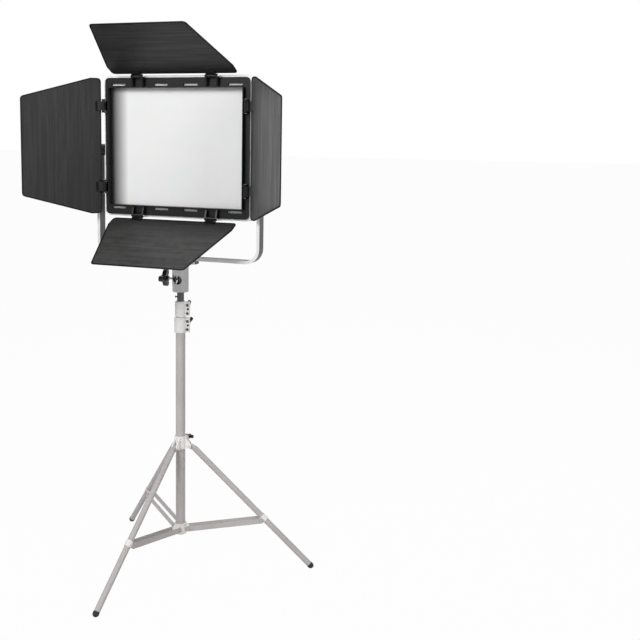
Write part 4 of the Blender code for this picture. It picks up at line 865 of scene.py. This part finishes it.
@dataclass
class PanelHead:
    """Housing with its diffuser, frame, inner parts and the controls on its back."""

    effects: Effects
    screw_r: float = 0.0032
    screw_h: float = 0.0007
    screw_inset: float = 0.012
    dial_mark_w: float = 0.0012
    tick_count: int = 11
    tick_ring: float = 0.0155
    tick_length: float = 0.0022
    tick_w: float = 0.0008
    mark_h: float = 0.00015
    tick_sweep: float = 270.0
    segment_count: int = 10
    prong_r: float = 0.0012
    diffuser_lap: float = 0.0072

    def dress_nodes(self) -> None:
        """Give every node of the head its finish."""
        low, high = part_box("diffuser")
        lap = self.diffuser_lap
        milky = MilkySheet("milky", "eeeeee", "e8e8e8", 0.45, grain=1600.0, relief=0.00001,
                           low=(low[0] + lap, low[1], low[2] + lap),
                           high=(high[0] - lap, high[1], high[2] - lap))
        dress("diffuser", milky.build("diffuser", self.effects))
        dress_all(["housing", "front_bezel"], SILVER_SHELL, self.effects)
        dress_all(["barndoor_frame"], BLACK_FRAME, self.effects)
        dress_all(["led_board"], BOARD, self.effects)
        dress_all(["heat_sink", "driver_box"], PLAIN_ALUMINIUM, self.effects)
        dress_all(["display"], DISPLAY_GLASS, self.effects)
        dress_all(["dial_brightness", "dial_colour", "power_switch", "power_rocker", "power_inlet",
                   "tilt_knob_left", "tilt_knob_right", "tilt_spacer_left", "tilt_spacer_right"],
                  BLACK_MOULDED, self.effects)

    def make_back_screws(self) -> None:
        """Socket screws round the edge of the back."""
        low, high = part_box("housing")
        radius, height = self.screw_r, self.screw_h
        profile = [(0, 0), (radius, 0), (radius, 0.6 * height), (0.85 * radius, height),
                   (0.5 * radius, height), (0.45 * radius, 0.3 * height), (0, 0.3 * height)]
        middle = (low + high) / 2
        mesh_data = bmesh.new()
        for x in (low.x + self.screw_inset, middle.x, high.x - self.screw_inset):
            for z in (low.z + self.screw_inset, middle.z, high.z - self.screw_inset):
                if x == middle.x and z == middle.z:
                    continue
                turn_profile(mesh_data, profile, toward(Vector((x, high.y, z)), Vector((0, 1, 0))), 18)
        add_piece("back_screws", mesh_data, "head", DARK_STEEL, self.effects)

    def make_dial_marks(self) -> None:
        """A white index line on each dial and a ring of ticks on the housing round it."""
        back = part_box("housing")[1].y
        for dial in ("dial_brightness", "dial_colour"):
            low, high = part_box(dial)
            middle = (low + high) / 2
            index = bmesh.new()
            half = self.dial_mark_w / 2
            add_bar(index, Vector((middle.x - half, high.y - 0.0001, middle.z + 0.003)),
                    Vector((middle.x + half, high.y + self.mark_h, middle.z + 0.009)), 0.00005)
            add_piece(f"{dial}_index", index, dial, WHITE_MARK, self.effects)
            ticks = bmesh.new()
            for k in range(self.tick_count):
                angle = math.radians(self.tick_sweep * (k / (self.tick_count - 1) - 0.5))
                step = bmesh.new()
                add_bar(step, Vector((-self.tick_w / 2, 0, self.tick_ring)),
                        Vector((self.tick_w / 2, self.mark_h, self.tick_ring + self.tick_length)), 0.00004)
                place = Matrix.Translation((middle.x, back, middle.z))
                step.transform(place @ Matrix.Rotation(angle, 4, "Y"))
                data = bpy.data.meshes.new("tick")
                step.to_mesh(data)
                step.free()
                ticks.from_mesh(data)
                bpy.data.meshes.remove(data)
            add_piece(f"{dial}_ticks", ticks, "head", WHITE_MARK, self.effects)

    def make_display_bars(self) -> None:
        """Two rows of plain segments behind the display's glass face."""
        low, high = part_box("display")
        width = (high.x - low.x) * 0.72
        pitch = width / self.segment_count
        start = (low.x + high.x) / 2 - width / 2
        for row, share, lit in (("upper", 0.66, 7), ("lower", 0.36, 4)):
            for name, finish, span in ((f"{row}_lit", LIT_SEGMENT, range(lit)),
                                       (f"{row}_dim", DIM_SEGMENT, range(lit, self.segment_count))):
                mesh_data = bmesh.new()
                for k in span:
                    left = start + pitch * (k + 0.15)
                    foot = low.z + (high.z - low.z) * share - 0.003
                    add_bar(mesh_data, Vector((left, high.y - 0.0002, foot)),
                            Vector((left + pitch * 0.7, high.y + self.mark_h, foot + 0.006)), 0.00005)
                add_piece(f"display_{name}", mesh_data, "head", finish, self.effects)

    def make_prongs(self) -> None:
        """Three metal pins in the power inlet."""
        low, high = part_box("power_inlet")
        middle = (low + high) / 2
        floor = high.y - 0.0125
        profile = [(0, 0), (self.prong_r, 0), (self.prong_r, 0.008), (0.6 * self.prong_r, 0.009), (0, 0.009)]
        mesh_data = bmesh.new()
        for x, z in ((-0.006, -0.002), (0.0, 0.0025), (0.006, -0.002)):
            place = Vector((middle.x + x, floor, middle.z + z))
            turn_profile(mesh_data, profile, toward(place, Vector((0, 1, 0))), 12)
        add_piece("inlet_prongs", mesh_data, "head", BRIGHT_STEEL, self.effects)

    def build(self) -> None:
        """Dress the head and make its small pieces."""
        self.dress_nodes()
        self.make_back_screws()
        self.make_dial_marks()
        self.make_display_bars()
        self.make_prongs()


@dataclass
class YokeAndStand:
    """Everything that carries the head."""

    effects: Effects

    def build(self) -> None:
        """Give the yoke, its receiver and every piece of the stand its finish."""
        legs = (1, 2, 3)
        dress_all(["yoke", "yoke_block"], SATIN_BAR, self.effects)
        dress_all(["receiver"], SATIN_CAST, self.effects)
        dress_all(["receiver_bolt"], BRIGHT_STEEL, self.effects)
        dress_all(["spigot", "spigot_pin", "king_bolt"]
                  + [f"{side}_clamp_screw_{end}" for side in ("lower", "upper") for end in ("top", "bottom")],
                  DARK_STEEL, self.effects)
        dress_all(["base_tube", "mid_tube", "top_tube"] + [f"leg_{k}" for k in legs]
                  + [f"strut_{k}" for k in legs], STAND_PAINT, self.effects)
        dress_all(["base_spider", "leg_collar", "lower_clamp", "upper_clamp"]
                  + [f"leg_clamp_{k}" for k in legs], CAST_PAINT, self.effects)
        dress_all(["receiver_knob", "leg_collar_knob", "lower_clamp_knob", "upper_clamp_knob"], BLACK_MOULDED,
                  self.effects)
        dress_all([f"foot_{k}" for k in legs], BLACK_RUBBER, self.effects)


@dataclass
class Studio:
    """Plain pale room: floor, soft lamps, white surroundings and the camera."""

    middle: Vector
    column: Vector
    bearing: float = 26.097
    distance: float = 2.319
    eye_height: float = 1.030
    pitch: float = 8.160
    pan: float = 4.177
    lens: float = 58.1
    shift: tuple[float, float] = (0.10, -0.075)
    floor_half: float = 30.0
    floor_colours: tuple[str, str] = ("d0d0d0", "cccccc")
    floor_white: float = 0.97
    ambient: float = 0.22

    def make_floor(self) -> None:
        """Wide pale floor that looks white from the camera and still shows the shadow."""
        mesh_data = bmesh.new()
        bmesh.ops.create_grid(mesh_data, x_segments=8, y_segments=8, size=self.floor_half)
        mesh = bpy.data.meshes.new("floor")
        mesh_data.to_mesh(mesh)
        mesh_data.free()
        floor = bpy.data.objects.new("floor", mesh)
        bpy.context.scene.collection.objects.link(floor)
        material = bpy.data.materials.new("pale_floor")
        material.use_nodes = True
        graph = Graph(material.node_tree)
        shader = material.node_tree.nodes["Principled BSDF"]
        cloud = graph.noise(graph.place(), 1.5, 3.0)
        graph.feed(shader.inputs["Base Color"], graph.mix(cloud, *map(tint, self.floor_colours)))
        shader.inputs["Roughness"].default_value = 0.9
        glow = graph.add("ShaderNodeEmission")
        glow.inputs["Color"].default_value = (1.0, 1.0, 1.0, 1.0)
        blend = graph.add("ShaderNodeMixShader")
        graph.feed(blend.inputs[0], graph.sum("MULTIPLY", self.seen(graph), self.floor_white))
        graph.feed(blend.inputs[1], shader.outputs[0])
        graph.feed(blend.inputs[2], glow.outputs[0])
        graph.feed(material.node_tree.nodes["Material Output"].inputs["Surface"], blend.outputs[0])
        mesh.materials.append(material)
        floor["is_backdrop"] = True

    def seen(self, graph: Graph) -> Socket:
        """Find what is seen directly, in a reflection or through glass.

        Args:
            graph: Graph of the floor or the world.

        Returns:
            1 for camera, glossy and transmission rays, else 0.
        """
        path = graph.add("ShaderNodeLightPath")
        mirrored = graph.sum("MAXIMUM", path.outputs["Is Glossy Ray"], path.outputs["Is Transmission Ray"])
        return graph.sum("MAXIMUM", path.outputs["Is Camera Ray"], mirrored)

    def make_world(self) -> None:
        """White surroundings that light the object softly."""
        world = bpy.data.worlds.new("studio")
        bpy.context.scene.world = world
        world.use_nodes = True
        graph = Graph(world.node_tree)
        background = world.node_tree.nodes["Background"]
        background.inputs["Color"].default_value = (1.0, 1.0, 1.0, 1.0)
        graph.feed(background.inputs["Strength"], graph.span(self.seen(graph), 0.0, 1.0, self.ambient, 1.0))

    def add_lamp(self, name: str, place: tuple[float, float, float], size: tuple[float, float],
                 power: float) -> None:
        """Place a soft lamp that looks at the middle of the light.

        Args:
            name: Name of the lamp.
            place: Where it stands.
            size: Width and height of its face.
            power: Its power in watts.
        """
        data = bpy.data.lights.new(name, "AREA")
        data.shape = "RECTANGLE"
        data.size, data.size_y = size
        data.energy = power
        lamp = bpy.data.objects.new(name, data)
        bpy.context.scene.collection.objects.link(lamp)
        lamp.location = place
        lamp.rotation_mode = "QUATERNION"
        lamp.rotation_quaternion = (Vector(place) - self.middle).to_track_quat("Z", "Y")

    def make_camera(self) -> None:
        """Camera in front of the light, to its right."""
        turn = math.radians(self.bearing)
        ahead = Vector((-math.sin(turn), math.cos(turn), 0))
        right = Vector((math.cos(turn), math.sin(turn), 0))
        dip = math.radians(self.pitch)
        look = ahead * math.cos(dip) - Vector((0, 0, math.sin(dip)))
        upward = ahead * math.sin(dip) + Vector((0, 0, math.cos(dip)))
        swing = math.radians(self.pan)
        aim = look * math.cos(swing) + right * math.sin(swing)
        side = right * math.cos(swing) - look * math.sin(swing)
        data = bpy.data.cameras.new("camera")
        data.lens = self.lens
        data.sensor_width = 36.0
        data.shift_x, data.shift_y = self.shift
        camera = bpy.data.objects.new("camera", data)
        bpy.context.scene.collection.objects.link(camera)
        camera.rotation_mode = "QUATERNION"
        camera.rotation_quaternion = Matrix((side, upward, -aim)).transposed().to_quaternion()
        camera.location = Vector((self.column.x, self.column.y, self.eye_height)) - ahead * self.distance
        bpy.context.scene.camera = camera

    def build(self) -> None:
        """Make the whole room."""
        self.make_floor()
        self.make_world()
        self.add_lamp("key", (-0.6, -2.6, 2.3), (1.0, 1.2), 64.0)
        self.add_lamp("fill", (2.8, -1.4, 1.6), (0.6, 1.8), 28.0)
        self.add_lamp("back", (0.6, 2.4, 2.2), (1.6, 1.2), 24.0)
        self.make_camera()
        bpy.context.scene.view_settings.view_transform = "Standard"


def main() -> None:
    """Build the looks of the light in order, then the room."""
    logging.basicConfig(level=logging.INFO, format="%(name)s: %(message)s")
    cad_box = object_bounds()
    effects = Effects()
    PanelHead(effects).build()
    # The doors share one real coat; their different colours are painted light and shade, darkest on the left
    # door and lightest on the right.
    Barndoor("top", Direction.ACROSS, "252525", "404040", effects).build()
    Barndoor("bottom", Direction.ACROSS, "2f2f2f", "484848", effects).build()
    Barndoor("left", Direction.UPRIGHT, "101010", "2c2c2c", effects).build()
    Barndoor("right", Direction.UPRIGHT, "484848", "6e6e6e", effects).build()
    YokeAndStand(effects).build()
    low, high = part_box("base_tube")
    Studio((cad_box[0] + cad_box[1]) / 2, (low + high) / 2).build()


if __name__ == "__main__":
    main()
